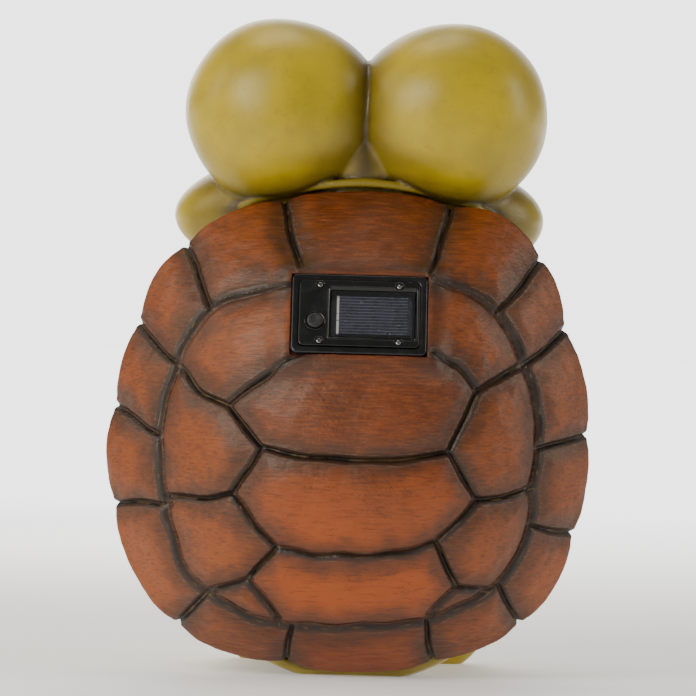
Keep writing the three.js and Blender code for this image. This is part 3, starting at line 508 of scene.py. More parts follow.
# ---------------------------------------------------------------- the head
EYE_X, EYE_Y, EYE_Z = 46.5, -8.0, 292.0
BALL_RADII = (48, 46, 48.5)
GAZE = np.array([0.12, -1, 0.12]) / np.linalg.norm([0.12, -1, 0.12])
SOCKET_RADIUS = 34.0
SOCKET_MOUTH = math.sqrt(BALL_RADII[1] ** 2 - SOCKET_RADIUS ** 2)
CHEEK_CENTRE = np.array([2.0, -38, 238])
CHEEK_RADII = np.array([97.0, 56, 38])
BODY_CENTRE = (0, -5, 95)
BODY_RADII = np.array([98.0, 68, 100])
BODY_TOP = 135.0
MIRROR = (1, -1)
BALL_INNER = 56.0  # half width of a ball towards the other, which makes the two meet in a V
NAPE = (0, EYE_Y - 6, EYE_Z - 60), (72, 24, 30)  # centre and radii
FILLER = (0, EYE_Y - 3, EYE_Z - 26), (24, 27, 32)  # between the balls
CROOK = (0, EYE_Y - 8, EYE_Z - 20), (22, 12, 30)  # the hollow inside the filler
BEAD_RADIUS = 2.1
LID_RADIUS = 3.6
CHEEK_FLATTER = 6  # how much less the cheeks reach back than forward
SHELL_OVERLAP = 2.5  # how far the head's lower edge goes into the shell


def belly(points, grow=0.0):
    return egg(points, BODY_CENTRE, BODY_RADII + grow, BODY_TOP + grow)


def ball(points, side):
    relative = (points - (side * EYE_X, EYE_Y, EYE_Z)) * (side, 1, 1)
    inner = np.array([BALL_INNER, *BALL_RADII[1:]])
    inward = relative[:, 0] < 0
    return np.where(inward, ellipsoid(relative, ORIGIN, inner), ellipsoid(relative, ORIGIN, BALL_RADII))


def eye_frame(side):
    return np.array([side * EYE_X, EYE_Y, EYE_Z]), GAZE * (side, 1, 1)


def eye_coordinates(points, side):
    """Distance along the gaze from a ball's centre, and distance from the gaze's axis."""
    centre, gaze = eye_frame(side)
    relative = points - centre
    along = relative @ gaze
    return along, np.linalg.norm(relative - along[:, None] * gaze, axis=1)


COLLAR = catmull(
    [
        (78, -18, 236), (66, -3.5, 241), (52, 6.7, 247.5), (26, 12.9, 253.5), (0, 15, 256),
        (-26, 12.9, 253.5), (-52, 6.7, 247.5), (-66, -3.5, 241), (-78, -18, 236),
    ],
    8,
)


def mouth_line():
    """The smile, a line round the cheeks that rises towards its corners."""
    line = []
    for angle in np.linspace(-1.05, 1.05, 41):
        up = (-12 + 12 * math.sin(angle) ** 2) / CHEEK_RADII[2]
        level = math.sqrt(1 - up * up)
        line.append(CHEEK_CENTRE + CHEEK_RADII * (level * math.sin(angle), -level * math.cos(angle), up))
    return np.array(line)


MOUTH = mouth_line()


def dome_distance(points, margin):
    """Roughly how far outside the shell's dome a point lies."""
    rho = shell_rho(points[:, 0], points[:, 2])
    height = points[:, 1] - SHELL_Y - dome_height(rho)
    over = (rho - 1) * 120
    inside = np.maximum(height * 0.7, SHELL_Y - points[:, 1])
    return np.maximum(inside, over) - margin


def cheeks(points, inset=0.0):
    """The cheeks, a little flatter behind than in front."""
    front = CHEEK_RADII - inset
    behind = front - (0, CHEEK_FLATTER, 0)
    return np.where(
        points[:, 1] > CHEEK_CENTRE[1],
        ellipsoid(points, CHEEK_CENTRE, behind), ellipsoid(points, CHEEK_CENTRE, front))


def head_distance(points):
    uneven = [wobble(points, 46, 5), wobble(points, 52, 6), np.zeros(len(points))]
    flat = points + 0.5 * np.stack(uneven, 1)
    skin = blend(*[ball(flat, side) for side in MIRROR], 2.5)
    skin = blend(skin, ellipsoid(flat, *NAPE), 3)
    skin = blend(skin, ellipsoid(flat, *FILLER), 2)
    skin = blend(skin, cheeks(flat), 4)
    skin = blend(skin, distance_to_line(points, COLLAR) - BEAD_RADIUS, 1)
    for side in MIRROR:
        along, aside = eye_coordinates(points, side)
        lid = np.hypot(along - SOCKET_MOUTH + 1, aside - SOCKET_RADIUS - 2.2) - LID_RADIUS
        skin = blend(skin, lid, 4)
    hollow = np.minimum(
        *[ellipsoid(points, eye_frame(side)[0], np.array(BALL_RADII) - WALL) for side in MIRROR])
    hollow = np.minimum.reduce([hollow, ellipsoid(points, *CROOK), cheeks(points, WALL)])
    skin = carve(skin, hollow, 1)
    for side in MIRROR:
        along, aside = eye_coordinates(points, side)
        skin = carve(skin, np.maximum(aside - SOCKET_RADIUS - 0.2, 5 - along), 1)
        nostril = ellipsoid(points, CHEEK_CENTRE + (side * 13 - 2, -CHEEK_RADII[1], 8), (3.0, 6, 2.3))
        skin = carve(skin, nostril, 2)
    skin = carve(skin, distance_to_line(points, MOUTH) - 1.5, 3)
    skin = np.maximum(skin, -belly(points, GAP))
    return np.maximum(skin, -dome_distance(points, -SHELL_OVERLAP))


def make_head():
    head = surface("head_sculpt", head_distance, (-106, -100, 196), (108, 44, 346), 1.35 * COARSE)
    points = points_of(head)
    # These distances place skin_paint's painted shade: in the valley between the balls, beside the collar's
    # bead and on the cheeks close behind the balls.
    valley = (1 - smoothstep(EYE_Z - 26, EYE_Z - 8, points[:, 2])) * (points[:, 1] > -4)
    crease = np.abs(points[:, 0]) * (1 - 0.6 * valley)
    collar = distance_to_line(points, COLLAR)
    near_ball = np.minimum(*[np.abs(ball(points, side)) for side in MIRROR])
    crease += near_ball * np.where(points[:, 1] < -16, 1.5, 0)
    cheek = np.abs(cheeks(points))
    fold = np.where((cheek < 2.5) & (points[:, 1] > -45), near_ball * 0.7, 40)
    store(head, "seam", np.minimum.reduce([crease, np.maximum(collar - 3, 0), fold + 1]))
    store(head, "collar", collar)
    store(head, "mouth", distance_to_line(points, MOUTH))
    lids = [eye_coordinates(points, side) for side in MIRROR]
    store(head, "lid", np.minimum(*[np.hypot(a - SOCKET_MOUTH, r - SOCKET_RADIUS - 2) for a, r in lids]))
    return head


# ---------------------------------------------------------------- the belly side
PLATE_LINES = (52, 92, 132, 170)


def belly_lines(points):
    """Distance to the belly's plate grooves: a line down the middle and rows across it."""
    x, z = points[:, 0], points[:, 2]
    rows = np.minimum.reduce([np.abs(z - line + (x / 26) ** 2) for line in PLATE_LINES])
    return np.minimum(np.abs(x + 1.2 * np.sin(z / 21)), rows)


def plate_edge(points):
    """How far inside the belly plates a point lies, sideways."""
    x, z = points[:, 0], points[:, 2]
    half = 60 * np.sqrt(np.clip(1 - ((z - 104) / 118) ** 2, 0, 1))
    return half - np.abs(x)


def body_distance(points):
    skin = belly(points) + 0.25 * wobble(points, 34, 8)
    front = points[:, 1] < 0
    inside_plates = plate_edge(points)
    lines = np.where(front & (inside_plates > 0), belly_lines(points), 30)
    lines = np.where(front, np.minimum(lines, np.abs(inside_plates)), 30)
    skin = skin + 1.3 * np.exp(-((lines / 2.0) ** 2)) + 0.9 * np.exp(-((lines / 6) ** 1.5))
    skin = np.maximum(skin, -points[:, 2])
    skin = np.maximum(skin, points[:, 1] - (SHELL_Y - GAP))
    hollow = np.maximum(belly(points, -WALL), WALL - points[:, 2])
    skin = np.maximum(skin, -hollow)
    neck = np.hypot(points[:, 0], points[:, 1] - BODY_CENTRE[1] + 10) - 22
    return np.maximum(skin, -np.maximum(neck, 180 - points[:, 2]))


def make_body():
    body = surface("belly_sculpt", body_distance, (-104, -78, -4), (104, 12, 234), 1.8 * COARSE)
    points = points_of(body)
    front = points[:, 1] < 4
    inside_plates = plate_edge(points)
    lines = np.where(inside_plates > 0, belly_lines(points), 40)
    lines = np.minimum(lines, np.abs(inside_plates))
    store(body, "seam", np.where(front, lines, 40))
    store(body, "plates", np.where(front, inside_plates, -40))
    return body


# ---------------------------------------------------------------- arms and legs
def flip(points, side):
    return points * (side, 1, 1)


# Each joint of a limb: its place and the limb's radius there.
ARM = [((72, -31, 177), 19), ((86, -50, 155), 19), ((84, -68, 131), 16.5), ((62, -84, 112), 13)]
LEG = [((36, -30, 38), 31), ((46, -56, 36), 27), ((50, -80, 33), 23)]


def tapered(points, joints):
    """A limb through its joints, with a fillet at each bend."""
    skin = None
    for (start, thick), (end, thin) in zip(joints, joints[1:]):
        stretch = capsule(points, start, end, thick, thin)
        skin = stretch if skin is None else blend(skin, stretch, 8)
    return skin


def arm_distance(points):
    skin = tapered(points, ARM)
    skin = blend(skin, ellipsoid(points, (55, -86, 108), (17, 12, 14.5)), 6)
    for k in (-1, 0, 1):
        skin = blend(skin, ellipsoid(points, (43, -88 + abs(k), 106 + 9 * k), (7.8, 6.2, 4.9)), 2)
    fold = np.abs((points - (85, -62, 140)) @ np.array([0.12, 0.64, 0.75]))
    skin = skin + 0.9 * np.exp(-((fold / 1.5) ** 2)) + 0.2 * wobble(points, 21, 9)
    return np.maximum(skin, -belly(points, GAP))


def leg_distance(points):
    skin = tapered(points, LEG)
    skin = blend(skin, ellipsoid(points, (50, -102, 31), (24.5, 14.5, 33.5)), 9)
    for k in (-1, 0, 1):
        skin = blend(skin, ellipsoid(points, (50 + 15 * k, -107, 57 - 4 * abs(k)), (8.2, 8.8, 8.4)), 2)
    sole = ellipsoid(points, (50, -109.3, 27), (13, 6.5, 15))
    skin = blend(skin, sole, 2)
    skin = skin + 0.2 * wobble(points, 24, 10)
    skin = np.maximum(skin, -points[:, 2])
    return np.maximum(skin, -belly(points, GAP))


def make_limb(name, distance, side, low, high):
    low, high = np.array(low, float), np.array(high, float)
    if side < 0:
        low[0], high[0] = -high[0], -low[0]
    return surface(name, lambda points: distance(flip(points, side)), low, high, 1.25 * COARSE)


# ---------------------------------------------------------------- eyes
LENS_RADIUS, LENS_WALL, LENS_SKIRT = 37.0, 2.0, 6.0
LENS_EDGE = SOCKET_RADIUS - 0.4
LENS_CENTRE = -math.sqrt(LENS_RADIUS ** 2 - LENS_EDGE ** 2)
PUPIL_HALF_ANGLE = 0.36


def strips(rows, length, rows_closed=True, closed=True):
    """Faces between neighbouring rows of points, each row as long as the next."""
    faces = []
    for k in range(rows if rows_closed else rows - 1):
        here, there = k * length, (k + 1) % rows * length
        for i in range(length if closed else length - 1):
            j = (i + 1) % length
            faces.append((here + i, here + j, there + j, there + i))
    return faces


def turned(name, side, profile, sides=96):
    """A closed ring of profile points, as radius and distance past the socket's mouth, turned
    about the gaze. Points on the axis are merged."""
    centre, gaze = eye_frame(side)
    across = np.cross(gaze, (0, 0, 1.0))
    across /= np.linalg.norm(across)
    upward = np.cross(across, gaze)
    points = []
    for k in range(sides):
        turn = 2 * math.pi * k / sides
        spoke = across * math.cos(turn) + upward * math.sin(turn)
        points += [centre + gaze * (SOCKET_MOUTH + z) + spoke * r for r, z in profile]
    obj = make_object(name, points, strips(sides, len(profile)))
    tidy_normals(obj)
    return obj


def arc(radius, start, end, steps):
    return [
        (max(radius * math.sin(a), 0), LENS_CENTRE + radius * math.cos(a))
        for a in np.linspace(start, end, steps + 1)
    ]


def make_lens(name, side):
    inner = LENS_RADIUS - LENS_WALL
    profile = [(LENS_EDGE - LENS_WALL, -LENS_SKIRT), (LENS_EDGE, -LENS_SKIRT)]
    profile += arc(LENS_RADIUS, math.asin(LENS_EDGE / LENS_RADIUS), 0, 28)
    profile += arc(inner, 0, math.asin((LENS_EDGE - LENS_WALL) / inner), 20)
    return turned(name, side, profile)


def make_pupil(name, side):
    low, high = LENS_RADIUS + GAP, LENS_RADIUS + 1.25
    edge = PUPIL_HALF_ANGLE
    profile = arc(low, 0, edge, 10) + arc(high - 0.25, edge + 0.004, edge, 1)
    profile += arc(high, edge - 0.012, 0, 12)
    return turned(name, side, profile, 72)


# ---------------------------------------------------------------- the lamp module
def in_sculpture(points):
    """Module coordinates (right, up, out) to sculpture coordinates."""
    points = np.asarray(points, float)
    return MODULE_ORIGIN + points[:, :1] * RIGHT + points[:, 1:2] * UP + points[:, 2:] * OUT


def rounded_ring(width, height, corner, out, x=0.0, y=0.0, steps=7):
    """A rounded rectangle about (x, y), out of the module's face by out."""
    ring = []
    for quarter, (sx, sy) in enumerate(((1, 1), (-1, 1), (-1, -1), (1, -1))):
        for step in range(steps + 1):
            angle = (quarter + step / steps) * math.pi / 2
            ring.append((
                x + sx * (width / 2 - corner) + corner * math.cos(angle),
                y + sy * (height / 2 - corner) + corner * math.sin(angle), out,
            ))
    return ring


def loft(name, rings, closed):
    """Rings joined one to the next, and either closed on themselves or capped at both ends."""
    sides, count = len(rings[0]), len(rings)
    points = [point for ring in rings for point in ring]
    faces = strips(count, sides, rows_closed=closed)
    if not closed:
        faces.append(tuple(reversed(range(sides))))
        faces.append(tuple(range((count - 1) * sides, count * sides)))
    obj = make_object(name, in_sculpture(points), faces)
    tidy_normals(obj)
    return obj


def tidy_normals(obj, merge=1e-7):
    edit = bmesh.new()
    edit.from_mesh(obj.data)
    bmesh.ops.remove_doubles(edit, verts=edit.verts, dist=merge)
    bmesh.ops.recalc_face_normals(edit, faces=edit.faces)
    edit.to_mesh(obj.data)
    edit.free()


def turned_module(name, x, y, profile, sides=48):
    """A profile of (radius, out) pairs turned about the module's out direction at (x, y)."""
    points = []
    for k in range(sides):
        turn = 2 * math.pi * k / sides
        points += [(x + r * math.cos(turn), y + r * math.sin(turn), z) for r, z in profile]
    obj = make_object(name, in_sculpture(points), strips(sides, len(profile), closed=False))
    tidy_normals(obj)
    return obj


def boolean(obj, other, operation="DIFFERENCE"):
    modifier = obj.modifiers.new("cut", "BOOLEAN")
    modifier.operation = operation
    modifier.solver = "EXACT"
    modifier.object = other
    bpy.context.view_layer.objects.active = obj
    bpy.ops.object.modifier_apply(modifier="cut")
    bpy.data.objects.remove(other)


def cylinder(x, y, radius, low, high, sides=40):
    return turned_module("tool", x, y, [(0, low), (radius, low), (radius, high), (0, high)], sides)


def sharpen(obj, angle=28):
    """Keeps hard edges crisp under smooth shading."""
    for polygon in obj.data.polygons:
        polygon.use_smooth = True
    obj.data.set_sharp_from_angle(angle=math.radians(angle))


PLATE_WIDTH, PLATE_HEIGHT, PLATE_TOP, PLATE_LOW = 61.4, 37.4, 0.7, -1.7
PLATE_CORNER, PLATE_EDGE = 2.4, 0.5
TUB_WIDTH, TUB_HEIGHT, TUB_DEPTH, TUB_WALL = 63.0, 39.0, 27.0, 1.8
WINDOW_X, WINDOW_WIDTH, WINDOW_HEIGHT = 7.0, 43.0, 27.0
# The window's frame from outside in: how much larger than the window, and how far out of the plate.
WINDOW_FRAME = [
    (3.9, 0), (3.6, 0.04), (3.4, 0.2), (3.2, 0.4), (2.9, 0.48), (2.3, 0.5), (2.1, 0.44), (0.3, -0.7),
    (0, -0.85),
]
# The raised ring round the button: radius past the button's, and how far out.
BUTTON_RING = [
    (0.3, 0), (1.2, 0), (1.15, PLATE_TOP + 0.3), (0.95, PLATE_TOP + 0.47), (0.7, PLATE_TOP + 0.5),
    (0.45, PLATE_TOP + 0.4), (0.3, PLATE_TOP + 0.1), (0.3, 0),
]
SCREW_SINK = [
    (0, -10), (1.2, -10), (1.2, PLATE_TOP - 0.9), (2.1, PLATE_TOP - 0.9), (2.1, PLATE_TOP - 0.3),
    (2.6, PLATE_TOP + 0.2), (2.6, 5), (0, 5),
]
FLANGE_LOW, FLANGE_SIDE, FLANGE_EDGE, FLANGE_CORNER = -2.5, -1.0, 1.0, 3.0
BUTTON_PROUD, BUTTON_PLAY, BUTTON_FLANGE = 1.6, 0.35, 1.0
SCREW_RADIUS, SCREW_PROUD = 1.45, 0.14
FACE_SCREWS = [(x * 20.2, y * 16.0) for y in (1, -1) for x in (-1, 1)]
BUTTON_X, BUTTON_Y, BUTTON_RADIUS = -22.5, -5.0, 4.15


def quarter_round(steps):
    """How far in and how far up each step of a rounded edge lies, as shares of its radius."""
    for step in range(1, steps + 1):
        turn = step * math.pi / (2 * steps)
        yield 1 - math.cos(turn), math.sin(turn)


def rounded_edge(width, height, corner, low, radius, steps):
    return [
        rounded_ring(
            width - 2 * (radius * inward), height - 2 * (radius * inward), corner - radius * inward,
            low + radius * rise)
        for inward, rise in quarter_round(steps)
    ]


def make_face():
    """The plate: a rounded rim, a step up to the window's frame and a sloping edge into it."""
    outline = (PLATE_WIDTH, PLATE_HEIGHT, PLATE_CORNER)
    side_top = PLATE_TOP - PLATE_EDGE
    rings = [rounded_ring(*outline, PLATE_LOW), rounded_ring(*outline, side_top)]
    rings += rounded_edge(*outline, side_top, PLATE_EDGE, 4)
    for grow, out in WINDOW_FRAME:
        size = (WINDOW_WIDTH + grow, WINDOW_HEIGHT + grow, 0.8 + grow / 4)
        rings.append(rounded_ring(*size, PLATE_TOP + out, x=WINDOW_X))
    rings.append(rounded_ring(WINDOW_WIDTH, WINDOW_HEIGHT, 1.0, PLATE_LOW, x=WINDOW_X))
    face = loft("lamp_face", rings, closed=True)
    ring = [(BUTTON_RADIUS + grow, out) for grow, out in BUTTON_RING]
    boolean(face, turned_module("tool", BUTTON_X, BUTTON_Y, ring, 64), "UNION")
    boolean(face, cylinder(BUTTON_X, BUTTON_Y, BUTTON_RADIUS + BUTTON_PLAY, -10, 5, 64))
    for x, y in FACE_SCREWS:
        boolean(face, turned_module("tool", x, y, SCREW_SINK, 32))
    sharpen(face)
    return face


def make_housing():
    """A tub with a flange: up its outside, over the flange and down into the pocket and the tub."""
    def ring(size, grow, corner, out):
        return rounded_ring(size[0] + grow, size[1] + grow, corner, out)

    tub, flange = (TUB_WIDTH, TUB_HEIGHT), (MODULE_WIDTH, MODULE_HEIGHT)
    pocket = (PLATE_WIDTH + 0.8, PLATE_HEIGHT + 0.8)
    rings = [
        ring(tub, -2.4, 2.0, -TUB_DEPTH), ring(tub, -0.6, 2.8, -TUB_DEPTH + 0.4),
        ring(tub, 0, 3.0, -TUB_DEPTH + 1.4), ring(tub, 0, 3.0, FLANGE_LOW),
        ring(flange, -0.3, 2.9, FLANGE_LOW), ring(flange, 0, FLANGE_CORNER, FLANGE_LOW + 0.2),
        ring(flange, 0, FLANGE_CORNER, FLANGE_SIDE),
        *rounded_edge(*flange, FLANGE_CORNER, FLANGE_SIDE, FLANGE_EDGE, 5),
        ring(pocket, 0.8, 3.2, 0), ring(pocket, 0.2, 3.05, -0.15), ring(pocket, 0, 3.0, -0.4),
        ring(pocket, 0, 3.0, PLATE_LOW - GAP), ring(tub, -2 * TUB_WALL, 1.5, PLATE_LOW - GAP),
        ring(tub, -2 * TUB_WALL, 1.5, -TUB_DEPTH + 2),
    ]
    housing = loft("lamp_housing", rings, closed=False)
    for x, y in FACE_SCREWS:
        boolean(housing, cylinder(x, y, 2.9, -12, PLATE_LOW - GAP), "UNION")
        boolean(housing, cylinder(x, y, 1.2, -10, 1, 20))
    boolean(housing, cylinder(0, -11, 4, -TUB_DEPTH - 5, -TUB_DEPTH + 7))
    sharpen(housing)
    return housing


def make_button():
    """A rubber cap with a soft shoulder and a shallow thumb dish."""
    top, flange = PLATE_TOP + BUTTON_PROUD, BUTTON_RADIUS + BUTTON_FLANGE
    profile = [
        (0, -4.9), (1.6, -4.9), (1.6, -2.6), (flange, -2.6), (flange, -2.0), (BUTTON_RADIUS, -2.0),
        (BUTTON_RADIUS, top - 1.0),
    ]
    profile += [(BUTTON_RADIUS - 0.9 * inward, top - 1.0 + 0.95 * up) for inward, up in quarter_round(7)]
    profile += [(2.7, top - 0.03), (2.1, top - 0.1), (1.3, top - 0.2), (0.6, top - 0.25), (0, top - 0.26)]
    button = turned_module("lamp_button", BUTTON_X, BUTTON_Y, profile, 64)
    sharpen(button, 50)
    return button


SPRING_RADIUS, SPRING_WIRE, SPRING_TURNS = 4.3, 0.25, 2.5
SPRING_LOW, SPRING_HIGH = -7.3, -2.9


def make_spring():
    """The button's return spring, which stands on the board round the switch."""
    rings = []
    rise = SPRING_HIGH - SPRING_LOW
    slope = rise / (2 * math.pi * SPRING_TURNS * SPRING_RADIUS)
    for share in np.linspace(0, 1, 121):
        angle = 2 * math.pi * SPRING_TURNS * share
        radial = np.array([math.cos(angle), math.sin(angle), 0])
        along = np.array([-math.sin(angle), math.cos(angle), slope])
        across = np.cross(along / np.linalg.norm(along), radial)
        middle = SPRING_RADIUS * radial + (BUTTON_X, BUTTON_Y, SPRING_LOW + share * rise)
        turns = 2 * math.pi * np.arange(10) / 10
        rings.append([middle + SPRING_WIRE * (radial * math.cos(t) + across * math.sin(t)) for t in turns])
    return loft("return_spring", rings, closed=False)


def make_screw(number, x, y):
    """A screw with a domed head and a cross, each turned to its own angle."""
    top, under = PLATE_TOP + SCREW_PROUD, PLATE_TOP - 0.6
    profile = [(0, under - 8), (0.9, under - 7), (0.9, under), (SCREW_RADIUS, under)]
    profile.append((SCREW_RADIUS, top - 0.6))
    profile += [(SCREW_RADIUS - 0.7 * inward, top - 0.6 + 0.5 * up) for inward, up in quarter_round(5)]
    profile.append((0, top))
    screw = turned_module(f"screw_{number}", x, y, profile, 32)
    turn = 0.5 + 0.9 * number
    for angle in (turn, turn + math.pi / 2):
        along = (math.cos(angle), math.sin(angle))
        corners = [
            (x + along[0] * a * 1.0 - along[1] * b * 0.24, y + along[1] * a * 1.0 + along[0] * b * 0.24)
            for a, b in ((-1, -1), (1, -1), (1, 1), (-1, 1))
        ]
        rings = [[(*corner, out) for corner in corners] for out in (top - 0.5, top + 1)]
        boolean(screw, loft("tool", rings, closed=False))
    sharpen(screw, 35)
    return screw


# ---------------------------------------------------------------- materials
def rgb(red, green, blue):
    """A colour as it shows on a screen, 0 to 255, as the linear one that shaders take."""
    shares = [value / 255 for value in (red, green, blue)]
    return (*[s / 12.92 if s < 0.04045 else ((s + 0.055) / 1.055) ** 2.4 for s in shares], 1.0)


class Finish:
    """A material's node tree, built by calls that take and give sockets."""

    def __init__(self, name, roughness=0.4, metallic=0.0, coat=0.0, coat_roughness=0.05, ior=1.5):
        self.material = bpy.data.materials.new(name)
        self.material.use_nodes = True
        self.tree = self.material.node_tree
        self.tree.nodes.clear()
        self.shader = self.node("BsdfPrincipled")
        self.node("OutputMaterial", self.shader.outputs[0])
        self.set("Roughness", roughness)
        self.set("Metallic", metallic)
        self.set("Coat Weight", coat)
        self.set("Coat Roughness", coat_roughness)
        self.set("IOR", ior)

    def put(self, target, value):
        if isinstance(value, bpy.types.NodeSocket):
            self.tree.links.new(value, target)
        else:
            target.default_value = value

    def set(self, name, value):
        self.put(self.shader.inputs[name], value)

    def node(self, kind, *values, settings=(), **named):
        """A node with its settings, then its inputs: in order, or by names that lack their spaces."""
        node = self.tree.nodes.new(f"ShaderNode{kind}")
        for name, value in settings:
            setattr(node, name, value)
        for target, value in zip(node.inputs, values):
            self.put(target, value)
        for target in node.inputs:
            if target.name.replace(" ", "") in named:
                self.put(target, named[target.name.replace(" ", "")])
        return node

    def vector(self, operation, a, b):
        return self.node("VectorMath", a, b, settings=[("operation", operation)])

    def place(self):
        """Frame coordinates in millimetres."""
        return self.stretch(self.node("TexCoord").outputs["Object"], (1000, 1000, 1000))

    def module_place(self):
        """Module coordinates in millimetres: right, up and out."""
        offset = self.vector("SUBTRACT", self.place(), tuple(MODULE_ORIGIN + SHIFT)).outputs["Vector"]
        along = [self.vector("DOT_PRODUCT", offset, tuple(way)).outputs["Value"] for way in (RIGHT, UP, OUT)]
        return self.node("CombineXYZ", *along).outputs[0]

    def stretch(self, vector, scale):
        return self.vector("MULTIPLY", vector, scale).outputs["Vector"]

    def parts(self, vector):
        return self.node("SeparateXYZ", vector).outputs

    def stored(self, name):
        return self.node("Attribute", settings=[("attribute_name", name)]).outputs["Fac"]

    def noise(self, vector, size, detail=3.0, roughness=0.5, warp=0.0):
        """Noise between 0 and 1 whose blotches are about size millimetres wide."""
        return self.node(
            "TexNoise", Vector=vector, Scale=1 / size, Detail=detail, Roughness=roughness,
            Distortion=warp).outputs["Fac"]

    def cells(self, vector, size):
        """Distance to scattered points, about size millimetres apart, as a share of that size."""
        return self.node("TexVoronoi", Vector=vector, Scale=1 / size).outputs["Distance"]

    def math(self, operation, *values):
        return self.node("Math", *values, settings=[("operation", operation)]).outputs[0]

    def times(self, a, b):
        return self.math("MULTIPLY", a, b)

    def plus(self, *values):
        total = values[0]
        for value in values[1:]:
            total = self.math("ADD", total, value)
        return total

    def step(self, value, low, high, start=0.0, end=1.0):
        """start below low, end above high, and a smooth change between."""
        node = self.node("MapRange", settings=[("interpolation_type", "SMOOTHSTEP")])
        for name, number in (("Value", value), ("From Min", low), ("From Max", high),
                             ("To Min", start), ("To Max", end)):
            self.put(node.inputs[name], number)
        return node.outputs["Result"]

    def fade(self, value, low, high):
        """1 below low and 0 above high."""
        return self.step(value, low, high, 1.0, 0.0)

    def mix(self, share, a, b):
        node = self.node("Mix", settings=[("data_type", "RGBA")])
        self.put(node.inputs["Factor"], share)
        self.put(node.inputs[6], a)
        self.put(node.inputs[7], b)
        return node.outputs[2]

    def layer(self, share, tone, strength=None):
        """Paints a screen colour over the colour so far, where share is high."""
        share = share if strength is None else self.times(share, strength)
        self.colour = self.mix(share, self.colour, rgb(*tone))

    def bump(self, height_mm, strength=1.0):
        normal = self.node("Bump", Strength=strength, Distance=MM, Height=height_mm).outputs["Normal"]
        self.set("Normal", normal)
        return normal


def shell_paint():
    """Hand-brushed orange-brown, shaded dark towards the grooves, under a clear coat; with painted light
    lower down, painted shade at the bottom edge and round the module, and painted highlights on the grooves'
    lips and middles.
    """
    f = Finish("shell_paint", coat=0.16, coat_roughness=0.26)
    place = f.place()
    seam = f.stored("seam")
    streaks = f.noise(f.stretch(place, (0.09, 0.5, 1.0)), 1.1, 4, 0.6)
    speckle = f.noise(place, 0.9, 3, 0.65)
    clouds = f.noise(place, 34, 2, 0.5)
    patches = f.noise(place, 11, 3, 0.55, 0.6)
    # Painted light: the shell grows lighter and more orange lower down and darker brown towards the top, as
    # the light falls on it.
    painted_light_lower = f.fade(f.plus(f.parts(place)[2], f.times(clouds, 60)), 60, 185)
    warm = f.mix(painted_light_lower, rgb(98, 43, 0), rgb(174, 79, 5))
    pale = f.mix(f.step(patches, 0.3, 0.7), rgb(132, 62, 2), rgb(114, 52, 0))
    pale = f.mix(f.times(painted_light_lower, 0.5), pale, rgb(158, 78, 22))
    f.colour = f.mix(f.stored("flank"), warm, pale)
    # Painted shade: the lowest part of the shell, which faces down, is darkened.
    f.layer(f.step(f.parts(place)[2], 14, 40, 0.5, 0.0), (62, 28, 2))
    f.layer(f.step(streaks, 0.45, 0.72), (158, 78, 10), 0.45)
    f.layer(f.fade(streaks, 0.3, 0.5), (66, 28, 1), 0.5)
    f.layer(f.step(speckle, 0.58, 0.75), (190, 108, 36), 0.35)
    # The airbrushed shade reaches further into a scute where the noise is high.
    reach = f.plus(f.times(patches, 9.0), f.times(clouds, 13.0))
    shade = f.fade(f.math("SUBTRACT", seam, reach), -8.5, 4.5)
    shade = f.times(shade, f.step(streaks, 0.2, 0.7, 1.0, 0.75))
    f.layer(shade, (52, 32, 16), 0.85)
    near = f.fade(f.plus(seam, f.times(speckle, 1.2)), 1.4, 4.6)
    f.layer(near, (34, 23, 13), 0.8)
    groove = f.fade(f.plus(seam, f.times(patches, 0.8)), 0.6, 1.6)
    f.layer(groove, (16, 10, 5))
    # Painted highlight: a pale line down the middle of a groove, in patches.
    groove_highlight = f.times(f.fade(seam, 0.25, 0.6), f.step(patches, 0.42, 0.6))
    f.layer(groove_highlight, (104, 78, 40), 0.7)
    # Painted highlight: the raised lip beside a groove is painted pale in streaks.
    lip = f.times(f.step(seam, 1.8, 2.4), f.fade(seam, 2.5, 3.3))
    f.layer(f.times(lip, f.step(streaks, 0.5, 0.62, 0.0, 0.5)), (112, 88, 62))
    # Painted shade: a dark band round the seat, next to the module's recess.
    seat = f.plus(f.stored("seat"), f.times(patches, 4.0))
    band = f.times(f.step(seat, 3.6, 6.0), f.fade(seat, 7.5, 15.0))
    f.layer(f.times(band, f.step(clouds, 0.35, 0.6, 0.25, 0.75)), (54, 30, 16))
    # Painted shade: the recess's walls against the module are darkened to a deep red, most at the module's
    # edge.
    f.layer(f.step(f.stored("seat"), 0.3, 1.6, 0.8, 0.0), (84, 28, 6))
    pits = f.fade(f.cells(f.stretch(place, (1, 1, 1.6)), 2.6), 0.12, 0.2)
    pits = f.times(pits, f.step(f.noise(place, 13, 1), 0.55, 0.65))
    f.layer(pits, (50, 30, 18), 0.7)
    f.set("Base Color", f.colour)
    f.set("Roughness", f.plus(f.times(speckle, 0.25), f.step(groove, 0, 1, 0.38, 0.28)))
    fine = f.times(f.noise(place, 3.2, 2), 0.2)
    height = f.plus(
        f.times(streaks, 0.4), f.times(speckle, 0.16), fine, f.times(groove_highlight, 0.25), f.times(lip, 0.2))
    f.set("Coat Normal", f.bump(f.math("SUBTRACT", height, f.times(pits, 0.3)), 0.7))
    return f.material


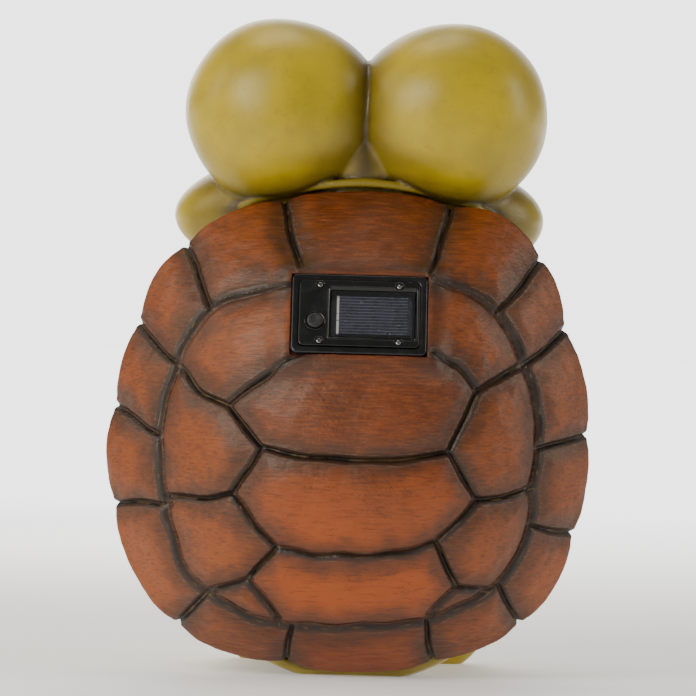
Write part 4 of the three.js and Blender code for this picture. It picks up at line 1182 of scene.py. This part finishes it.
def skin_paint():
    """Olive yellow-green with painted shade in every fold and crease, and fine pores under a thin clear
    coat.
    """
    f = Finish("skin_paint", coat=0.16, coat_roughness=0.34)
    place = f.place()
    clouds = f.noise(place, 30, 2, 0.5)
    mottle = f.noise(place, 7, 4, 0.6, 0.4)
    grain = f.noise(place, 0.8, 3, 0.7)
    f.colour = f.mix(f.step(clouds, 0.3, 0.7), rgb(186, 160, 4), rgb(164, 142, 0))
    f.layer(f.step(mottle, 0.5, 0.75), (158, 130, 12), 0.45)
    f.layer(f.step(grain, 0.55, 0.8), (208, 186, 52), 0.25)
    # Painted shade: darker the nearer the skin lies to a fold, crease or the back of a ball, as in their
    # shadow.
    fold = f.stored("seam")
    shade = f.fade(f.plus(fold, f.times(mottle, 8.0)), 4.0, 24.0)
    f.layer(shade, (92, 74, 2), 0.8)
    deep_fold_shade = f.fade(f.plus(fold, f.times(mottle, 1.5)), 0.8, 4.2)
    f.layer(deep_fold_shade, (46, 33, 2), 0.75)
    bead = f.fade(f.stored("collar"), 1.7, 2.6)
    f.layer(bead, (168, 146, 14), 0.85)
    pores = f.fade(f.cells(place, 2.2), 0.1, 0.2)
    pores = f.times(pores, f.step(f.noise(place, 10, 1), 0.5, 0.62))
    f.layer(pores, (96, 80, 22), 0.4)
    f.set("Base Color", f.colour)
    f.set("Roughness", f.plus(f.times(mottle, 0.15), 0.33))
    height = f.plus(f.times(grain, 0.07), f.times(f.noise(place, 4, 3), 0.2))
    f.bump(f.math("SUBTRACT", height, f.times(pores, 0.2)), 0.5)
    return f.material


def belly_paint():
    """Pale straw plates, brown in their grooves and olive at the flanks."""
    f = Finish("belly_paint", coat=0.4, coat_roughness=0.2)
    place = f.place()
    clouds = f.noise(place, 26, 2)
    streaks = f.noise(f.stretch(place, (0.12, 0.4, 1.0)), 1.4, 4, 0.6)
    grain = f.noise(place, 0.9, 3, 0.7)
    plates = f.mix(f.step(clouds, 0.35, 0.65), rgb(222, 196, 118), rgb(206, 176, 98))
    plates = f.mix(f.times(f.step(streaks, 0.5, 0.7), 0.4), plates, rgb(182, 146, 72))
    skin = f.mix(f.step(clouds, 0.35, 0.65), rgb(186, 166, 60), rgb(168, 148, 48))
    f.colour = f.mix(f.step(f.stored("plates"), -1.0, 1.0), skin, plates)
    seam = f.plus(f.stored("seam"), f.times(clouds, 4.0))
    f.layer(f.step(seam, 2.0, 9.0, 0.75, 0.0), (122, 82, 34))
    f.layer(f.step(seam, 1.6, 3.4, 0.8, 0.0), (60, 40, 20))
    f.set("Base Color", f.colour)
    f.set("Roughness", f.plus(f.times(grain, 0.2), 0.3))
    f.bump(f.plus(f.times(streaks, 0.18), f.times(grain, 0.1)), 0.5)
    return f.material


def moulded_plastic():
    """Black moulding: fine spark-eroded grain, a few rubbed patches and patches of dust."""
    f = Finish("moulded_plastic", ior=1.49)
    place = f.module_place()
    grain = f.noise(place, 0.35, 2, 0.6)
    rubbed = f.noise(place, 9, 3, 0.6, 0.5)
    colour = f.mix(f.step(rubbed, 0.45, 0.7), rgb(14, 14, 15), rgb(24, 25, 27))
    dust = f.times(f.step(f.noise(place, 1.3, 3, 0.7), 0.62, 0.75), 0.35)
    f.set("Base Color", f.mix(dust, colour, rgb(52, 49, 46)))
    # The window's bevel is polished.
    right, up = f.parts(place)[:2]
    aside = f.plus(f.math("ABSOLUTE", f.plus(right, -WINDOW_X)), -WINDOW_WIDTH / 2)
    edge = f.math("MAXIMUM", aside, f.plus(f.math("ABSOLUTE", up), -WINDOW_HEIGHT / 2))
    bevel = f.times(f.step(edge, -0.3, 0.0), f.fade(edge, 1.1, 1.3))
    f.set("Roughness", f.times(f.plus(f.times(rubbed, 0.2), 0.12), f.step(bevel, 0, 1, 1.0, 0.25)))
    f.bump(f.times(grain, f.step(bevel, 0, 1, 0.05, 0.0)), 0.5)
    return f.material


CELL_LEFT, CELL_RIGHT, FINGER_PITCH = -10.4, 24.4, 1.72


def solar_glass():
    """The cell: blue-grey silicon with fine horizontal fingers and a tinned bar at its left end, painted
    near-white in dashes as a painted glint.
    """
    f = Finish("solar_glass", roughness=0.22, coat=0.6, coat_roughness=0.04)
    place = f.module_place()
    right, up = f.parts(place)[:2]
    grain = f.cells(f.stretch(place, (1, 1, 0.01)), 3.2)
    silicon = f.mix(f.step(grain, 0.2, 0.7), rgb(34, 35, 50), rgb(48, 49, 66))
    row = f.math("PINGPONG", f.times(up, 1 / FINGER_PITCH), 0.5)
    finger = f.fade(row, 0.06, 0.13)
    body = f.times(f.step(right, CELL_LEFT, -10.2), f.fade(right, CELL_RIGHT, 24.6))
    colour = f.mix(f.times(finger, f.times(body, 0.75)), silicon, rgb(116, 118, 138))
    # The tinned bar: its own tin, with a painted glint along it as near-white dashes.
    bar = f.times(f.step(right, -11.6, -11.5), f.fade(right, CELL_LEFT, -10.3))
    tin_and_glint_dashes = f.step(f.noise(f.stretch(place, (0, 1, 0)), 2.4, 1), 0.36, 0.42)
    colour = f.mix(f.times(bar, tin_and_glint_dashes), colour, rgb(226, 226, 222))
    f.set("Base Color", colour)
    f.bump(f.times(f.times(finger, body), 0.03), 0.6)
    return f.material


def clear_cover():
    f = Finish("clear_cover", roughness=0.03, ior=1.49)
    f.set("Base Color", (0.97, 0.98, 1.0, 1.0))
    f.set("Transmission Weight", 1.0)
    place = f.module_place()
    f.set("Roughness", f.step(f.noise(place, 6, 3), 0.4, 0.7, 0.015, 0.06))
    f.bump(f.times(f.noise(place, 12, 2), 0.01), 0.3)
    return f.material


def rubber(name, tint):
    """Soft matte rubber with a faint bloom."""
    f = Finish(name)
    place = f.module_place()
    bloom = f.noise(place, 2.2, 3, 0.6)
    pale = tuple(min(1, 1.9 * value + 0.012) for value in tint[:3])
    f.set("Base Color", f.mix(f.step(bloom, 0.4, 0.75), tint, (*pale, 1.0)))
    f.set("Roughness", f.step(bloom, 0.3, 0.7, 0.42, 0.6))
    f.bump(f.times(f.noise(place, 0.3, 2), 0.04), 0.5)
    return f.material


def plated_metal():
    """Nickel plate with fine scratches and a dull film in places."""
    f = Finish("plated_metal", metallic=1.0)
    place = f.module_place()
    film = f.noise(place, 1.6, 3, 0.6)
    scratches = f.noise(f.stretch(place, (0.15, 1, 1)), 0.18, 2)
    f.set("Base Color", f.mix(f.step(film, 0.45, 0.75), rgb(150, 149, 146), rgb(96, 93, 88)))
    f.set("Roughness", f.plus(f.times(film, 0.2), f.times(scratches, 0.18)))
    f.bump(f.times(scratches, 0.02), 0.6)
    return f.material


def frosted_lens():
    """Milky moulding: thick and pale, with a satin skin and faint flow lines."""
    f = Finish("frosted_lens", coat=0.3, coat_roughness=0.1, ior=1.49)
    place = f.place()
    milk = f.noise(place, 14, 3)
    f.set("Base Color", f.mix(f.step(milk, 0.35, 0.7), rgb(246, 243, 232), rgb(232, 228, 214)))
    f.set("Subsurface Weight", 0.35)
    f.set("Subsurface Radius", (0.006, 0.005, 0.004))
    f.set("Roughness", f.plus(f.times(milk, 0.2), 0.2))
    f.bump(f.times(f.noise(place, 3, 2), 0.05), 0.4)
    return f.material


def plain_finish(name, pale, dark, roughness, size=2.0, metallic=0.0, coat=0.0, grain=0.04):
    """A moulded or painted finish whose colour and gloss drift between two tones."""
    f = Finish(name, metallic=metallic, coat=coat, coat_roughness=0.08)
    place = f.place()
    drift = f.noise(place, size, 3, 0.6)
    f.set("Base Color", f.mix(f.step(drift, 0.35, 0.7), rgb(*pale), rgb(*dark)))
    f.set("Roughness", f.plus(f.times(drift, 0.16), roughness - 0.08))
    f.bump(f.times(f.noise(place, size / 5, 2), grain), 0.5)
    return f.material


def board_finish():
    """Green solder mask with copper traces under it."""
    f = Finish("board_finish", roughness=0.35, coat=0.4, coat_roughness=0.1)
    place = f.module_place()
    up = f.parts(place)[1]
    lanes = f.step(f.math("PINGPONG", f.times(up, 0.45), 0.5), 0.16, 0.2)
    breaks = f.step(f.noise(place, 7, 1), 0.46, 0.5)
    copper = f.times(lanes, breaks)
    f.set("Base Color", f.mix(copper, rgb(8, 26, 14), rgb(16, 44, 22)))
    f.bump(f.times(copper, 0.04), 0.6)
    return f.material


def battery_finish():
    """A printed sleeve: green with a pale band and a bare metal end."""
    f = Finish("battery_finish", roughness=0.3, coat=0.5)
    place = f.module_place()
    right = f.parts(place)[0]
    band = f.times(f.step(right, 6, 6.3), f.fade(right, 13, 13.3))
    colour = f.mix(f.noise(place, 12, 2), rgb(52, 128, 70), rgb(38, 104, 56))
    colour = f.mix(band, colour, rgb(222, 224, 214))
    end = f.step(right, 24.6, 24.8)
    f.set("Base Color", f.mix(end, colour, rgb(190, 190, 186)))
    f.set("Metallic", end)
    f.bump(f.times(f.noise(place, 1.2, 2), 0.03), 0.5)
    return f.material


# ---------------------------------------------------------------- putting the pieces in
def paint(obj, material):
    if obj.material_slots:
        for holder in obj.material_slots:
            holder.material = material
    else:
        obj.data.materials.append(material)


def put_in(obj, material, node, body="figure"):
    """A finished piece: its material, the CAD node it stands for and the body it rides on."""
    paint(obj, material)
    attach(obj, body)
    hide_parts(node)


skin, shell_colour, black = skin_paint(), shell_paint(), moulded_plastic()
nickel, lens_milk = plated_metal(), frosted_lens()
pupil_black = plain_finish("pupil_black", (8, 8, 9), (13, 12, 12), 0.16, 6, coat=0.3, grain=0.02)

put_in(make_shell(), shell_colour, "carapace")
put_in(make_head(), skin, "head")
put_in(make_body(), belly_paint(), "body")
for side, hand in ((1, "left"), (-1, "right")):
    arm = make_limb(f"{hand}_arm_sculpt", arm_distance, side, (30, -104, 84), (112, -4, 204))
    leg = make_limb(f"{hand}_leg_sculpt", leg_distance, side, (6, -124, -4), (84, -10, 76))
    for limb, part in ((arm, "arm"), (leg, "leg")):
        points = flip(points_of(limb), side)
        # Painted shade: each limb is darkened where it meets the belly.
        store(limb, "seam", np.clip(belly(points), 0, 40) * 0.8)
        store(limb, "collar", np.full(len(points), 40.0))
        put_in(limb, skin, f"{hand}_{part}")
    put_in(make_lens(f"{hand}_lens", side), lens_milk, f"{hand}_eye_lens")
    put_in(make_pupil(f"{hand}_pupil_disc", side), pupil_black, f"{hand}_pupil")

put_in(make_housing(), black, "module_housing")
put_in(make_face(), black, "module_face")
button_skin = rubber("button_rubber", rgb(26, 26, 28))
put_in(make_button(), button_skin, "power_button", "button")
for number, (x, y) in enumerate(FACE_SCREWS, 1):
    put_in(make_screw(number, x, y), nickel, f"face_screw_{number}")

# The spring's foot stands on the board; it is left unattached, with its place baked into its points.
spring = make_spring()
paint(spring, nickel)
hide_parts("button_spring")
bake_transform(spring)

seal = rubber("seal_rubber", rgb(30, 30, 30))
white = plain_finish("white_moulding", (232, 230, 222), (214, 211, 200), 0.5)
wire = plain_finish("wire_insulation", (166, 34, 28), (134, 24, 22), 0.4)
epoxy = plain_finish("led_epoxy", (240, 238, 222), (226, 222, 200), 0.2, coat=0.5)
KEPT = {
    "cell_window": clear_cover(), "solar_cell": solar_glass(), "circuit_board": board_finish(),
    "battery": battery_finish(), "driver_chip": black, "switch_body": black, "driver_coil": white,
    "cell_lead": wire, "positive_contact": nickel, "negative_contact": nickel,
    "housing_gasket": seal, "lead_grommet": seal,
    "left_eye_lead": wire, "right_eye_lead": wire, "left_led": epoxy, "right_led": epoxy,
    "left_led_holder": white, "right_led_holder": white,
}
for node, material in KEPT.items():
    paint(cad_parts[node], material)


# ---------------------------------------------------------------- stage, lights and camera
FLOOR_REACH = 9.0
BACKDROP_NEAR, BACKDROP_FAR = -150, -2200  # where the floor begins and ends to brighten, in millimetres
WARM = (1.0, 0.94, 0.8)


def make_floor():
    """A pale floor, brighter far behind the object, where the backdrop's own lights would fall."""
    mesh = bpy.data.meshes.new("floor")
    corners = [(x * FLOOR_REACH, y * FLOOR_REACH, 0) for x, y in ((-1, -1), (1, -1), (1, 1), (-1, 1))]
    mesh.from_pydata(corners, [], [(0, 1, 2, 3)])
    floor = link("floor", mesh)
    f = Finish("floor", roughness=0.8)
    f.set("Base Color", (0.88, 0.88, 0.88, 1.0))
    away = f.parts(f.place())[1]
    f.set("Emission Color", (1, 1, 1, 1))
    f.set("Emission Strength", f.step(away, BACKDROP_FAR, BACKDROP_NEAR, 2.8, 0.25))
    floor.data.materials.append(f.material)


def point_at(obj, place, aim):
    obj.location = place
    obj.rotation_mode = "QUATERNION"
    obj.rotation_quaternion = (Vector(aim) - Vector(place)).to_track_quat("-Z", "Y")


def make_light(name, place, aim, width, height, power):
    data = bpy.data.lights.new(name, "AREA")
    data.shape = "RECTANGLE"
    data.size, data.size_y = width, height
    data.energy = power
    data.color = WARM
    point_at(link(name, data), place, aim)


def make_camera():
    """A long lens from behind, level with the shell, turned slightly about its own axis."""
    sensor, distance, view_width = 36.0, 3.0, 0.3605
    aim = Vector((0.0017, 0.03, 0.1703))
    elevation, roll = math.radians(1.0), math.radians(1.6)
    away = Vector((0, math.cos(elevation), math.sin(elevation)))
    data = bpy.data.cameras.new("camera")
    data.sensor_width = sensor
    data.lens = sensor * distance / view_width
    camera = link("camera", data)
    camera.location = aim + away * distance
    camera.rotation_mode = "QUATERNION"
    look = (-away).to_track_quat("-Z", "Y")
    camera.rotation_quaternion = look @ Matrix.Rotation(roll, 3, "Z").to_quaternion()
    bpy.context.scene.camera = camera


def make_world():
    """Even dim light, and a bright backdrop on the side that the turtle faces."""
    world = bpy.data.worlds.new("world")
    world.use_nodes = True
    tree = world.node_tree
    direction = tree.nodes.new("ShaderNodeTexCoord").outputs["Generated"]
    along = tree.nodes.new("ShaderNodeSeparateXYZ")
    tree.links.new(direction, along.inputs[0])
    spread = tree.nodes.new("ShaderNodeMapRange")
    spread.interpolation_type = "SMOOTHSTEP"
    tree.links.new(along.outputs["Y"], spread.inputs["Value"])
    for name, number in (("From Min", -0.92), ("From Max", -0.7), ("To Min", 3.2), ("To Max", 0.24)):
        spread.inputs[name].default_value = number
    background = tree.nodes["Background"]
    background.inputs["Color"].default_value = (1, 1, 1, 1)
    tree.links.new(spread.outputs["Result"], background.inputs["Strength"])
    bpy.context.scene.world = world


make_floor()
make_world()
make_camera()
MIDDLE = (0, 0.03, 0.18)
make_light("left_softbox", (0.75, 0.95, 0.75), MIDDLE, 0.6, 0.7, 12)
make_light("left_strip", (1.05, 0.1, 0.7), MIDDLE, 0.2, 0.7, 2.5)
make_light("right_strip", (-1.05, 0.1, 0.6), MIDDLE, 0.2, 0.7, 3.5)
make_light("top_softbox", (0.1, -0.2, 1.2), MIDDLE, 0.6, 0.4, 3)
make_light("front_softbox", (0.3, -1.2, 0.7), MIDDLE, 0.9, 0.9, 6)
